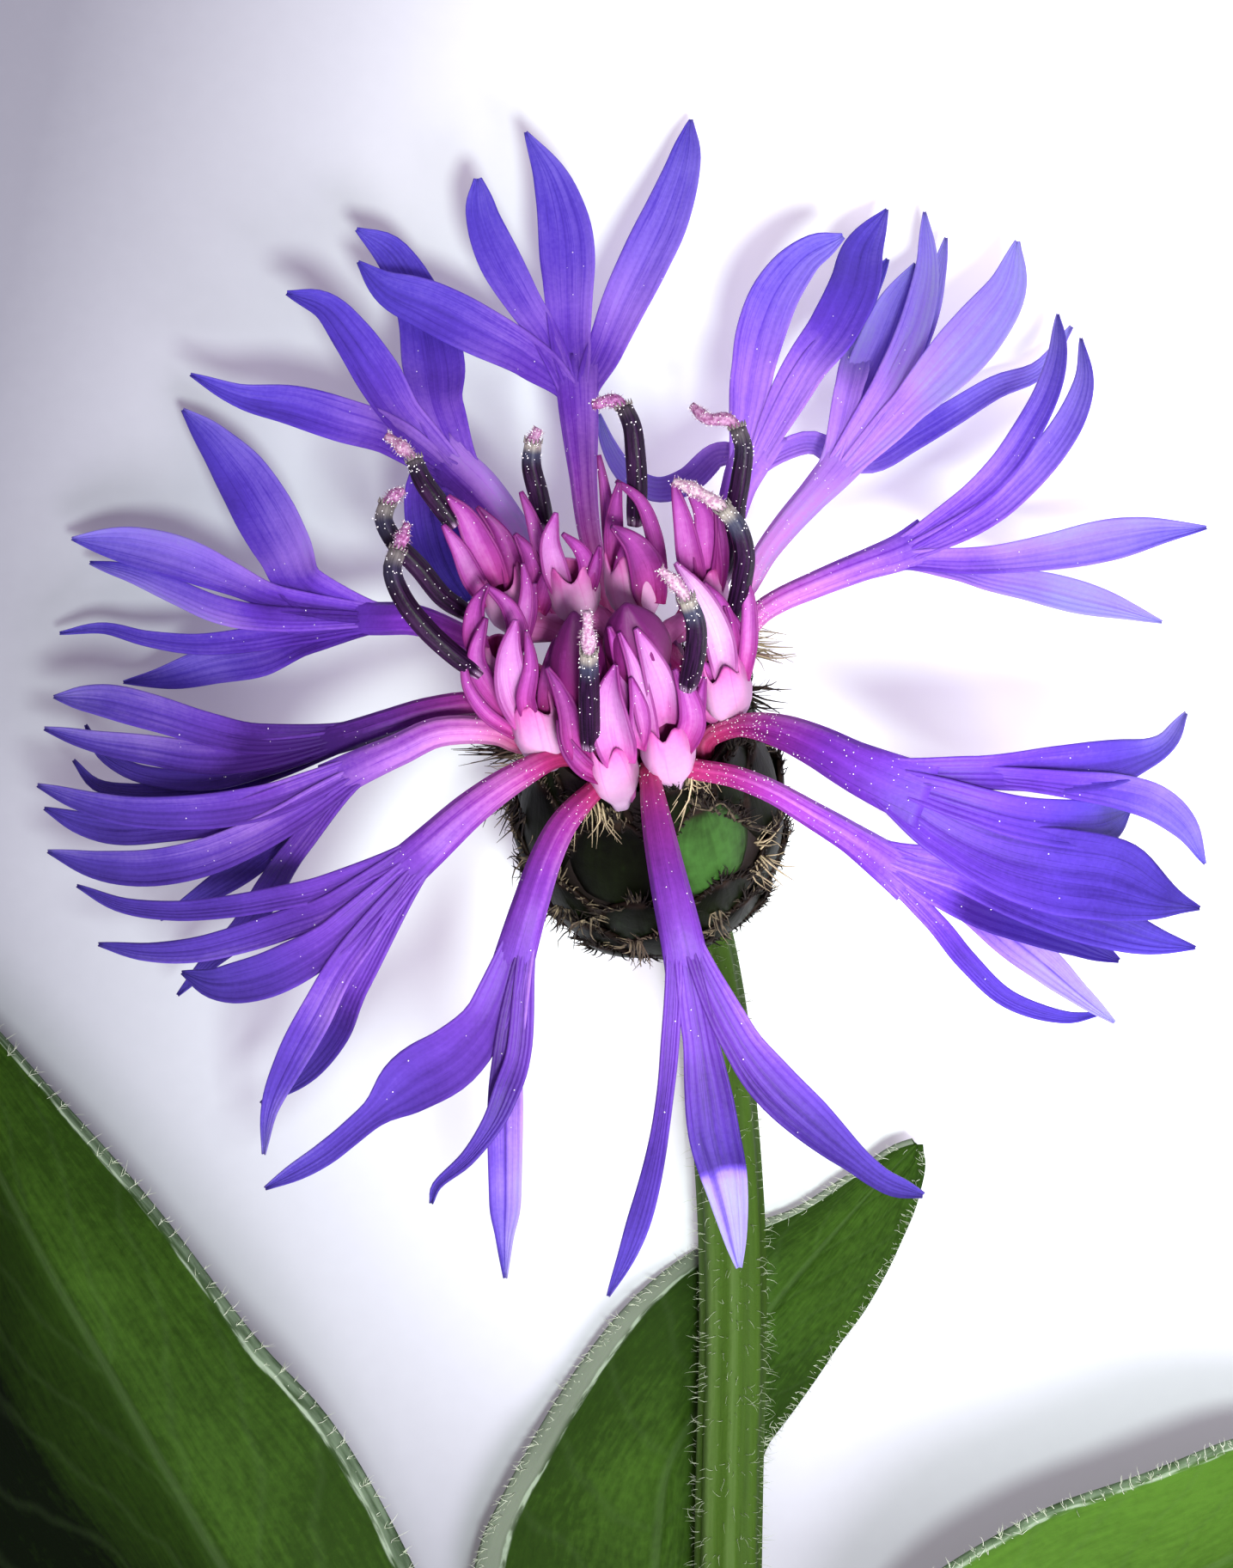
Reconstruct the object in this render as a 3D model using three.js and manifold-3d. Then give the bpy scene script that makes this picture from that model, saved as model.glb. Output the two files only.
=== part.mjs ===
// Mountain cornflower (Centaurea montana): one flower head on its leafy stem, cut and lying flat.
// Millimetres. +Z is up from the surface and +Y runs from the cut end of the stem towards the head.
// The origin is the middle of the small flat spot that the head rests on.
//
// Free shapes are given by control points on a plan. A plan point [u, v, height] has u to the right and v
// towards the cut end, both in plan units, and its height above the surface in millimetres. The plan's
// lines meet in one eye point above the flower, so spot() turns a plan point into its place in space.

import * as THREE from "three";
import Module from "manifold-3d";

const wasm = await Module();
wasm.setup();

// ---------------------------------------------------------------- driving dimensions

const EYE = new THREE.Vector3(-1.87, 2.3, 150);
const PLAN_CENTRE = [717.5, 912.5];
const PLAN_REACH = 2842;
const PLAN_UNIT = 0.05;

const HEAD_AXIS = new THREE.Vector3(-0.08, 0.615, 0.785).normalize();
const URN_CENTRE = new THREE.Vector3(0, 0.93, 8.45);
const URN_RADIUS = 8;
const MOUTH_HEIGHT = 8.5;

const CLEARANCE = 0.5;
const BLADE_THICK = 0.9;
const TUBE_THICK = 1.3;
const LEAF_THICK = 0.8;
const ANTHER_WIDTH = 1.1;
const STEM_WIDTH = 3.9;
const ROOT_WIDTH = 1.1;

// ---------------------------------------------------------------- frames

const ACROSS = new THREE.Vector3().crossVectors(HEAD_AXIS, new THREE.Vector3(0, 0, 1)).normalize();
const UPWARD = new THREE.Vector3().crossVectors(HEAD_AXIS, ACROSS).normalize();
const MOUTH = URN_CENTRE.clone().addScaledVector(HEAD_AXIS, MOUTH_HEIGHT);

// A plan point's place in space.
function spot([u, v, height]) {
  const scale = (EYE.z - height) / PLAN_REACH;
  const x = EYE.x + (u - PLAN_CENTRE[0]) * scale;
  const y = EYE.y + (PLAN_CENTRE[1] - v) * scale;
  return new THREE.Vector3(x, y, height);
}

// A point about the head's axis: an angle in degrees, a distance from the axis and a height over the mouth.
function aboutHead(angle, radius, height) {
  const turn = THREE.MathUtils.degToRad(angle);
  return MOUTH.clone()
    .addScaledVector(ACROSS, radius * Math.cos(turn))
    .addScaledVector(UPWARD, radius * Math.sin(turn))
    .addScaledVector(HEAD_AXIS, height);
}

// ---------------------------------------------------------------- solids

// A closed solid from its corners and triangles, with its faces turned out.
function solid(corners, triangles) {
  let volume = 0;
  for (const [a, b, c] of triangles) {
    volume += corners[a].dot(new THREE.Vector3().crossVectors(corners[b], corners[c]));
  }
  const faces = volume < 0 ? triangles.map(([a, b, c]) => [a, c, b]) : triangles;
  const vertProperties = new Float32Array(corners.flatMap((corner) => corner.toArray()));
  const triVerts = new Uint32Array(faces.flat());
  return new wasm.Manifold(new wasm.Mesh({ numProp: 3, vertProperties, triVerts }));
}

// A solid through a row of rings with equal counts. A ring of one point is a tip.
function loft(rings) {
  const corners = rings.flat();
  const triangles = [];
  const starts = rings.map((ring, i) => rings.slice(0, i).flat().length);
  for (let i = 0; i + 1 < rings.length; i++) {
    const [low, high] = [starts[i], starts[i + 1]];
    const count = Math.max(rings[i].length, rings[i + 1].length);
    for (let k = 0; k < count; k++) {
      const next = (k + 1) % count;
      if (rings[i + 1].length === 1) {
        triangles.push([low + k, low + next, high]);
        continue;
      }
      triangles.push([low + k, low + next, high + next]);
      triangles.push([low + k, high + next, high + k]);
    }
  }
  const capped = (ring, start, flip) => {
    for (let k = 1; k + 1 < ring.length; k++) {
      triangles.push(flip ? [start, start + k + 1, start + k] : [start, start + k, start + k + 1]);
    }
  };
  capped(rings[0], starts[0], true);
  capped(rings.at(-1), starts.at(-1), false);
  return solid(corners, triangles);
}

const joined = (solids) => solids.reduce((all, one) => all.add(one));

// What is left of a solid as its biggest body, once loose scraps are dropped.
function wholeBody(piece) {
  const bodies = piece.decompose();
  return bodies.reduce((most, body) => (body.volume() > most.volume() ? body : most));
}

// Places along a smooth line, each with a sideways vector and a face vector that looks up. A grown line is
// longer at both ends.
const UP = new THREE.Vector3(0, 0, 1);
function stations(points, steps, grow = 0) {
  const line = new THREE.CatmullRomCurve3(points, false, "centripetal");
  return Array.from({ length: steps + 1 }, (_, i) => {
    const along = i / steps;
    const tangent = line.getTangentAt(along);
    const side = new THREE.Vector3().crossVectors(tangent, UP).normalize();
    const face = new THREE.Vector3().crossVectors(side, tangent).normalize();
    const stretch = i === 0 ? -grow : i === steps ? grow : 0;
    return { along, at: line.getPointAt(along).addScaledVector(tangent, stretch), side, face };
  });
}

// A value along a line, read from a list of values at even spaces.
function valueAlong(values, along) {
  const place = along * (values.length - 1);
  const low = Math.min(Math.floor(place), values.length - 2);
  return THREE.MathUtils.lerp(values[low], values[low + 1], place - low);
}

// A rod or tube with an elliptical section: widths along it, and the most that its section is thick.
function rod(points, widths, { thick = Infinity, steps = 6, sides = 6, grow = 0 } = {}) {
  const rings = stations(points, steps, grow).map(({ along, at, side, face }) => {
    const width = valueAlong(widths, along);
    const [a, b] = [width / 2 + grow, Math.min(width, thick) / 2 + grow];
    return Array.from({ length: sides }, (_, k) => {
      const turn = (2 * Math.PI * (k + 0.5)) / sides;
      return at.clone().addScaledVector(side, a * Math.cos(turn)).addScaledVector(face, b * Math.sin(turn));
    });
  });
  return loft(rings);
}

// A lance-shaped blade with a ridge above and a keel below, widest near its middle and pointed at its end.
const LANCE_START = 0.18;
const BLADE_CUP = 0.24;
const TIP_DEPTH = 0.2;
const TIP_SLOPE = 2.2;
function blade(points, width, { thick = BLADE_THICK, steps = 6 } = {}) {
  const rings = stations(points, steps).map(({ along, at, side, face }) => {
    if (along === 1) return [at];
    const half = (width / 2) * Math.sin(Math.PI * (LANCE_START + (1 - LANCE_START) * along));
    const lift = face.clone().multiplyScalar(BLADE_CUP * half);
    const depth = (thick / 2) * Math.min(1, TIP_DEPTH + TIP_SLOPE * (1 - along));
    return [
      at.clone().addScaledVector(face, depth),
      at.clone().addScaledVector(side, half).add(lift),
      at.clone().addScaledVector(face, -depth),
      at.clone().addScaledVector(side, -half).add(lift),
    ];
  });
  return loft(rings);
}

// ---------------------------------------------------------------- ray florets

// Each floret has the angle of its root about the head's axis, its tube from the mouth of the head to its
// throat, the tube's widths in millimetres, and its lobes. A lobe has its width in plan units, its heights
// at tip, middle and throat, and its line on the plan from the tip back to the throat.
const RAY_FLORETS = [
  {
    angle: 98,
    tube: [[690, 640, 12.5], [683, 600, 11.9], [675, 500, 10.2], [671, 440, 9.1], [668, 412, 8.6]],
    widths: [1.1, 1.2, 1.5, 2.2, 2.8],
    lobes: [
      {
        width: 45,
        heights: [6.5, 7.5, 8.6],
        line: [[553, 210], [561, 250], [578, 300], [608, 350], [640, 395]],
      },
      {
        width: 58,
        heights: [5.3, 7, 8.6],
        line: [[612, 154], [645, 230], [660, 300], [664, 350], [668, 400]],
      },
      {
        width: 55,
        heights: [2.3, 5.6, 8.6],
        line: [[804, 139], [800, 190], [778, 250], [752, 305], [728, 355], [705, 405]],
      },
      {
        width: 58,
        heights: [7.2, 8, 8.6],
        line: [[417, 305], [450, 335], [500, 362], [560, 393], [610, 420]],
      },
    ],
  },
  {
    angle: 126,
    tube: [[612, 645, 13], [588, 610, 12.7], [560, 575, 12.2], [530, 545, 11.6], [505, 520, 11]],
    widths: [1.1, 1.5, 2.2, 2.6, 2.6],
    lobes: [
      {
        width: 50,
        heights: [9.8, 10.5, 11],
        line: [[332, 341], [375, 358], [410, 395], [440, 440], [470, 485]],
      },
      {
        width: 60,
        heights: [5.8, 6.4, 10.5],
        line: [[415, 267], [450, 290], [480, 335], [497, 380], [507, 430], [512, 475]],
      },
      {
        width: 46,
        heights: [8.6, 9.7, 11],
        line: [[222, 436], [280, 460], [340, 474], [400, 492], [455, 508]],
      },
      { width: 45, heights: [6.5, 8, 10.4], line: [[545, 700], [510, 660], [493, 600], [500, 555]] },
    ],
  },
  {
    angle: 154,
    tube: [[545, 745, 15], [485, 722, 14], [440, 720, 12.5], [395, 720, 11]],
    widths: [1.1, 1.4, 1.8, 2],
    lobes: [
      {
        width: 62,
        heights: [3, 6.5, 11],
        line: [[213, 477], [243, 505], [280, 550], [310, 595], [333, 640], [358, 685]],
      },
      {
        width: 50,
        heights: [3.1, 7.2, 11],
        line: [[84, 627], [150, 632], [210, 650], [270, 678], [320, 700]],
      },
      {
        width: 35,
        heights: [3.2, 7.6, 11],
        line: [[105, 655], [155, 668], [205, 688], [255, 710], [310, 720]],
      },
      {
        width: 32,
        heights: [2.8, 7.2, 10.5],
        line: [[70, 737], [120, 731], [170, 744], [230, 748], [290, 742], [350, 732]],
      },
      {
        width: 48,
        heights: [3.6, 6.6, 10.5],
        line: [[144, 795], [195, 783], [250, 772], [305, 762], [355, 742]],
      },
    ],
  },
  {
    angle: 178,
    tube: [
      [600, 838, 15.8], [560, 820, 17], [500, 827, 17.7], [450, 842, 17.6], [400, 858, 17.2],
      [355, 868, 16.5],
    ],
    widths: [1.1, 1.4, 1.5, 1.8],
    lobes: [
      {
        width: 38,
        heights: [9, 13.3, 16.5],
        line: [[63, 811], [120, 815], [180, 832], [240, 848], [300, 860]],
      },
      {
        width: 40,
        heights: [8.4, 12, 16],
        line: [[52, 848], [110, 862], [170, 873], [230, 882], [290, 880]],
      },
      {
        width: 22,
        heights: [7.6, 10.6, 15.5],
        line: [[100, 844], [115, 875], [150, 900], [200, 910], [255, 905], [310, 890]],
      },
      {
        width: 22,
        heights: [7.4, 10.4, 15],
        line: [[86, 885], [110, 912], [150, 922], [210, 920], [265, 912], [320, 895]],
      },
    ],
  },
  {
    angle: 203,
    tube: [
      [610, 866, 17.2], [575, 852, 18.8], [510, 852, 19.8], [465, 872, 19.8], [420, 892, 19.2],
      [380, 912, 18.2],
    ],
    widths: [1.1, 1.5, 1.7, 2.2],
    lobes: [
      {
        width: 45,
        heights: [10, 14.6, 18],
        line: [[44, 914], [95, 932], [150, 945], [210, 948], [270, 942], [330, 928]],
      },
      {
        width: 30,
        heights: [9.4, 13, 17.5],
        line: [[52, 941], [95, 957], [140, 963], [190, 958], [250, 950], [310, 935]],
      },
      {
        width: 39,
        heights: [10.5, 15, 18],
        line: [[56, 991], [115, 1007], [175, 1010], [235, 1000], [290, 978], [340, 950]],
      },
      {
        width: 28,
        heights: [10, 13, 17.5],
        line: [[187, 1070], [235, 1045], [280, 1015], [320, 985], [360, 955]],
      },
      {
        width: 28,
        heights: [7, 10.5, 17],
        line: [[207, 1158], [245, 1118], [285, 1080], [315, 1035], [345, 990]],
      },
    ],
  },
  {
    angle: 226,
    tube: [[655, 880, 18.5], [600, 905, 21], [550, 940, 22], [500, 985, 22.5], [450, 1030, 22]],
    widths: [1.1, 1.6, 2, 2.5],
    lobes: [
      {
        width: 22,
        heights: [14, 18, 21.5],
        line: [[90, 1031], [140, 1053], [200, 1060], [260, 1056], [320, 1046], [380, 1030]],
      },
      {
        width: 24,
        heights: [13, 17.5, 21.5],
        line: [[115, 1100], [170, 1108], [225, 1105], [280, 1093], [335, 1075], [385, 1055]],
      },
      {
        width: 33,
        heights: [15, 18.5, 21.5],
        line: [[212, 1132], [250, 1145], [300, 1140], [345, 1120], [385, 1092]],
      },
      {
        width: 30,
        heights: [13, 18, 21.5],
        line: [[307, 1343], [315, 1290], [340, 1235], [370, 1180], [400, 1125]],
      },
      { width: 26, heights: [11, 15, 21], line: [[304, 1284], [350, 1250], [385, 1205], [410, 1150]] },
    ],
  },
  {
    angle: 248,
    tube: [
      [693, 918, 19.3], [655, 960, 22.5], [635, 1000, 24], [618, 1050, 25], [603, 1100, 25],
      [592, 1140, 24.5],
    ],
    widths: [1.1, 1.5, 1.8, 2.3],
    lobes: [
      {
        width: 68,
        heights: [16, 21, 24.5],
        line: [[309, 1383], [375, 1342], [430, 1297], [480, 1255], [530, 1225], [568, 1182]],
      },
      {
        width: 38,
        heights: [18, 22.5, 24.5],
        line: [[588, 1487], [587, 1440], [588, 1395], [589, 1345], [588, 1290], [590, 1230]],
      },
      {
        width: 22,
        heights: [22.5, 25.3, 25],
        line: [[502, 1400], [509, 1379], [544, 1348], [575, 1304], [588, 1274], [603, 1230]],
      },
    ],
  },
  {
    angle: 270,
    tube: [
      [755, 900, 19.5], [763, 948, 23], [774, 1005, 25], [785, 1055, 26], [795, 1100, 26.5],
      [803, 1145, 26],
    ],
    widths: [1.1, 1.6, 2, 2.4],
    lobes: [
      {
        width: 20,
        heights: [18, 23, 26],
        line: [[708, 1508], [732, 1455], [750, 1400], [765, 1340], [773, 1290], [777, 1230]],
      },
      {
        width: 48,
        heights: [20, 24, 26],
        line: [[860, 1473], [855, 1425], [845, 1375], [832, 1320], [823, 1265], [815, 1210]],
      },
      {
        width: 50,
        heights: [19, 23.5, 26],
        line: [[1074, 1390], [1030, 1375], [990, 1345], [945, 1305], [900, 1260], [865, 1215]],
      },
    ],
  },
  {
    angle: 295,
    tube: [
      [805, 894, 19.2], [855, 904, 21], [900, 922, 22], [945, 948, 22], [990, 975, 21.5],
      [1030, 1003, 20.5], [1060, 1025, 19.8],
    ],
    widths: [1.1, 1.2, 1.6, 2.6],
    lobes: [
      {
        width: 20,
        heights: [13, 15.5, 19],
        line: [[1280, 1179], [1240, 1182], [1174, 1163], [1125, 1118], [1092, 1078]],
      },
      {
        width: 35,
        heights: [13.5, 16, 19],
        line: [[1297, 1189], [1255, 1155], [1215, 1120], [1175, 1090], [1130, 1055]],
      },
      {
        width: 45,
        heights: [15, 17, 19.5],
        line: [[1302, 1119], [1255, 1095], [1200, 1075], [1150, 1058], [1100, 1035]],
      },
      {
        width: 45,
        heights: [15.5, 17, 19.5],
        line: [[1391, 1103], [1345, 1095], [1290, 1080], [1230, 1062], [1170, 1040], [1110, 1015]],
      },
    ],
  },
  {
    angle: 322,
    tube: [
      [860, 845, 19.5], [905, 850, 22.5], [950, 868, 24.8], [995, 892, 26.4], [1040, 912, 27.3],
      [1080, 928, 27.6],
    ],
    widths: [1.1, 1.8, 2.4, 3.4],
    lobes: [
      {
        width: 45,
        heights: [16, 23.5, 27.6],
        line: [[1380, 830], [1355, 866], [1315, 883], [1260, 895], [1200, 898], [1140, 900]],
      },
      {
        width: 35,
        heights: [14.5, 22, 27],
        line: [[1401, 1004], [1378, 965], [1345, 935], [1300, 920], [1250, 912], [1190, 905]],
      },
      {
        width: 45,
        heights: [19, 24.5, 27.6],
        line: [[1312, 947], [1275, 960], [1230, 955], [1180, 950], [1130, 935]],
      },
      {
        width: 85,
        heights: [20, 25.5, 27.6],
        line: [[1395, 1057], [1345, 1045], [1290, 1020], [1230, 1010], [1170, 995], [1110, 970]],
      },
    ],
  },
  {
    angle: 12,
    tube: [
      [845, 775, 15.6], [880, 718, 17.2], [905, 700, 18], [950, 680, 18], [1000, 660, 17.4],
      [1050, 642, 16.2], [1080, 626, 15.4],
    ],
    widths: [1.1, 1.3, 1.6, 2.4],
    lobes: [
      {
        width: 32,
        heights: [6.2, 12.2, 15],
        line: [[1231, 366], [1231, 410], [1218, 455], [1195, 500], [1165, 545], [1125, 585]],
      },
      {
        width: 30,
        heights: [6, 11.4, 14.8],
        line: [[1258, 394], [1263, 440], [1248, 485], [1222, 525], [1185, 565], [1145, 600]],
      },
      {
        width: 42,
        heights: [7, 10.8, 15],
        line: [[1404, 614], [1345, 617], [1290, 625], [1230, 638], [1170, 645], [1125, 645]],
      },
      {
        width: 30,
        heights: [6, 9.8, 14.6],
        line: [[1352, 724], [1300, 707], [1250, 693], [1200, 682], [1150, 672], [1110, 655]],
      },
    ],
  },
  {
    angle: 38,
    tube: [
      [848, 712, 14], [870, 680, 14.9], [890, 645, 15], [915, 612, 14.4], [945, 578, 13.4],
      [975, 545, 12.1], [995, 520, 11.2],
    ],
    widths: [1.1, 1.3, 1.7, 2.6],
    lobes: [
      {
        width: 58,
        heights: [6.8, 8.9, 11],
        line: [[1185, 281], [1172, 335], [1140, 385], [1100, 430], [1055, 475]],
      },
      {
        width: 33,
        heights: [3.5, 7, 11],
        line: [[1076, 247], [1075, 320], [1063, 370], [1045, 420], [1020, 465]],
      },
      {
        width: 38,
        heights: [4.4, 7.2, 10.5],
        line: [[1065, 307], [1045, 350], [1025, 400], [1005, 445], [992, 485]],
      },
      { width: 25, heights: [3.6, 6, 10.5], line: [[1010, 352], [1000, 400], [988, 450]] },
    ],
  },
  {
    angle: 62,
    tube: [
      [815, 690, 13], [840, 630, 13.1], [850, 600, 12.9], [862, 560, 12.3], [880, 520, 11.5],
      [888, 500, 11.1],
    ],
    widths: [1.1, 1.4, 1.9, 3],
    lobes: [
      {
        width: 45,
        heights: [8.9, 10, 11],
        line: [[981, 274], [940, 298], [908, 338], [888, 385], [876, 430]],
      },
      {
        width: 48,
        heights: [4.2, 8, 11],
        line: [[1032, 244], [1008, 290], [995, 335], [970, 385], [935, 430]],
      },
      {
        width: 26,
        heights: [6.4, 7.4, 10.4],
        line: [[697, 482], [705, 505], [730, 550], [765, 570], [800, 560], [835, 530]],
      },
      {
        width: 26,
        heights: [2.4, 4.2, 10],
        line: [
          [1247, 380], [1210, 430], [1160, 450], [1110, 480], [1060, 510], [1015, 535], [975, 530],
          [940, 515],
        ],
      },
    ],
  },
];

const ROOT_RADIUS = 4.1;
const ROOT_DEPTH = 1.3;
const SILL = { radius: 4.5, height: 0.5 };
const LEAST_LOBE_WIDTH = 0.9;
const LOBE_BACK = 1.08;
const TUBE_STEPS = 8;

// The tube's line: from its root in the cup, over the sill of the mouth and out to its throat.
function tubeLine({ angle, tube }) {
  const root = aboutHead(angle, ROOT_RADIUS, -ROOT_DEPTH);
  const sill = aboutHead(angle, SILL.radius, SILL.height);
  return [root, sill, ...tube.map(spot)];
}

// A lobe's line from inside the throat to its tip, its height a parabola through its three heights.
function lobeLine({ line, heights: [tip, middle, throat] }, start) {
  const last = line.length - 1;
  const points = line.map(([u, v], i) => {
    const s = i / last;
    const height = tip * (1 - s) * (1 - 2 * s) + middle * 4 * s * (1 - s) + throat * s * (2 * s - 1);
    return spot([u, v, height]);
  });
  return [start, ...points.reverse()];
}

const rayTube = (floret, grow = 0) => {
  const widths = [ROOT_WIDTH, ...floret.widths];
  return rod(tubeLine(floret), widths, { thick: TUBE_THICK, steps: TUBE_STEPS, grow });
};

// A ray floret: its tube, and its lobes from a little way back inside the throat.
function rayFloret(floret) {
  const line = new THREE.CatmullRomCurve3(tubeLine(floret), false, "centripetal");
  const start = line.getPointAt(1 - LOBE_BACK / line.getLength());
  const lobes = floret.lobes.map((lobe) => {
    const width = Math.max(lobe.width * PLAN_UNIT, LEAST_LOBE_WIDTH);
    return blade(lobeLine(lobe, start), width);
  });
  return joined([rayTube(floret), ...lobes]);
}

// ---------------------------------------------------------------- disc florets

// Each disc floret has the plan point and radius of its swollen throat, and its lobes as
// [u, v, height, width] of their tips, with the width in plan units.
const DISC_FLORETS = [
  {
    bell: [714, 900, 20],
    radius: 1.35,
    tips: [[650, 838, 22, 20], [637, 777, 24, 24], [716, 772, 25.5, 44], [740, 790, 25, 24]],
  },
  {
    bell: [778, 876, 20.3],
    radius: 1.45,
    tips: [[710, 731, 25.5, 26], [741, 733, 26, 38], [787, 780, 25, 34], [812, 800, 23.5, 22]],
  },
  {
    bell: [628, 850, 19],
    radius: 1.5,
    tips: [[600, 725, 24.5, 42], [539, 765, 22, 20], [613, 735, 24, 26]],
  },
  {
    bell: [845, 805, 19],
    radius: 1.4,
    tips: [[787, 657, 24.5, 34], [855, 662, 23, 22], [822, 690, 23.5, 30]],
  },
  {
    bell: [818, 695, 18.5],
    radius: 1.4,
    tips: [[785, 562, 23.5, 36], [836, 590, 23, 30], [812, 575, 22.5, 24]],
  },
  {
    bell: [738, 685, 19.5],
    radius: 1.5,
    tips: [[712, 614, 24, 50], [721, 560, 22.5, 24], [768, 600, 21.5, 20]],
  },
  {
    bell: [668, 690, 20],
    radius: 1.4,
    tips: [[646, 598, 24, 32], [656, 622, 24, 24], [606, 572, 21.5, 18], [697, 637, 23.5, 18]],
  },
  {
    bell: [592, 700, 18.5],
    radius: 1.4,
    tips: [[518, 612, 22, 30], [521, 578, 21.5, 34], [556, 590, 21, 30], [609, 658, 22.5, 22]],
  },
  { bell: [580, 775, 19], radius: 1.3, tips: [[567, 682, 23.5, 34], [548, 720, 22.5, 22]] },
];
const CLOSED_BUDS = [
  { foot: [680, 850, 20], tip: [668, 713, 25.5], width: 2.9 },
  { foot: [755, 800, 20.5], tip: [728, 704, 26], width: 3.4 },
];

const CORE_PROFILE = [[0, -1.9], [2.9, -1.9], [3.1, 0.5], [3.2, 2.4], [2.6, 4.6], [1.4, 6], [0, 6.4]];
const CORE_SIDES = 10;
const BELL_RINGS = [-0.95, -0.45, 0.25, 0.85];
const BELL_SIDES = 7;
const STALK_LENGTH = 2.5;
const STALK_LOWEST = -0.5;
const STALK_WIDTHS = [1.6, 1.5];
const LOBE_ROOT = 0.4;
const LOBE_BOW = 0.5;
const BUD_WIDTHS = [0.5, 1, 0.75, 0.25];
const BUD_SIDES = 7;

// A solid turned about the head's axis from a profile of [radius, height over the mouth] points.
function turned(profile, sides, grow = 0) {
  const rings = profile.map(([radius, height], i) => {
    if (radius === 0) return [aboutHead(0, 0, height + (i === 0 ? -grow : grow))];
    return Array.from({ length: sides }, (_, k) => aboutHead((360 * k) / sides, radius + grow, height));
  });
  const corners = rings.flat();
  const triangles = [];
  let start = 0;
  for (let i = 0; i + 1 < rings.length; i++) {
    const next = start + rings[i].length;
    for (let k = 0; k < sides; k++) {
      const turn = (k + 1) % sides;
      if (rings[i].length === 1) {
        triangles.push([start, next + k, next + turn]);
      } else if (rings[i + 1].length === 1) {
        triangles.push([start + k, next, start + turn]);
      } else {
        triangles.push([start + k, next + k, next + turn]);
        triangles.push([start + k, next + turn, start + turn]);
      }
    }
    start = next;
  }
  return solid(corners, triangles);
}

// A swollen throat round its own axis, as a seven-sided barrel.
function bellSolid(centre, axis, radius) {
  const side = new THREE.Vector3().crossVectors(axis, ACROSS).normalize();
  const other = new THREE.Vector3().crossVectors(axis, side);
  const rings = BELL_RINGS.map((height) => {
    const girth = radius * Math.sqrt(1 - height * height);
    const at = centre.clone().addScaledVector(axis, radius * height);
    return Array.from({ length: BELL_SIDES }, (_, k) => {
      const turn = (2 * Math.PI * k) / BELL_SIDES;
      return at.clone()
        .addScaledVector(side, girth * Math.cos(turn))
        .addScaledVector(other, girth * Math.sin(turn));
    });
  });
  return loft(rings);
}

// A disc floret: a stalk up from the cup, its swollen throat, and lobes that bow out to their tips.
function discFloret({ bell, radius, tips }) {
  const centre = spot(bell);
  const ends = tips.map(([u, v, height]) => spot([u, v, height]));
  const middle = ends.reduce((sum, end) => sum.add(end), new THREE.Vector3()).divideScalar(ends.length);
  const axis = middle.sub(centre).normalize();
  const height = centre.clone().sub(MOUTH).dot(HEAD_AXIS);
  const foot = MOUTH.clone().addScaledVector(HEAD_AXIS, Math.max(height - STALK_LENGTH, STALK_LOWEST));
  const stalk = rod([foot, centre], STALK_WIDTHS, { steps: 1 });
  const lobes = tips.map(([, , , width], i) => {
    const out = ends[i].clone().sub(centre);
    const sideways = out.clone().addScaledVector(axis, -out.dot(axis)).normalize();
    const start = centre.clone().addScaledVector(sideways, LOBE_ROOT * radius);
    const bow = start.clone().lerp(ends[i], 0.5).addScaledVector(sideways, LOBE_BOW);
    return blade([start, bow, ends[i]], width * PLAN_UNIT, { steps: 4 });
  });
  return joined([stalk, bellSolid(centre, axis, radius), ...lobes]);
}

// An unopened disc floret, as a club.
function closedBud({ foot, tip, width }) {
  const low = spot(foot);
  const high = spot(tip);
  const middle = low.clone().lerp(high, 0.5);
  const widths = BUD_WIDTHS.map((share) => share * width);
  return rod([low, middle, high], widths, { steps: 4, sides: BUD_SIDES });
}

// ---------------------------------------------------------------- anther columns

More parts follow.
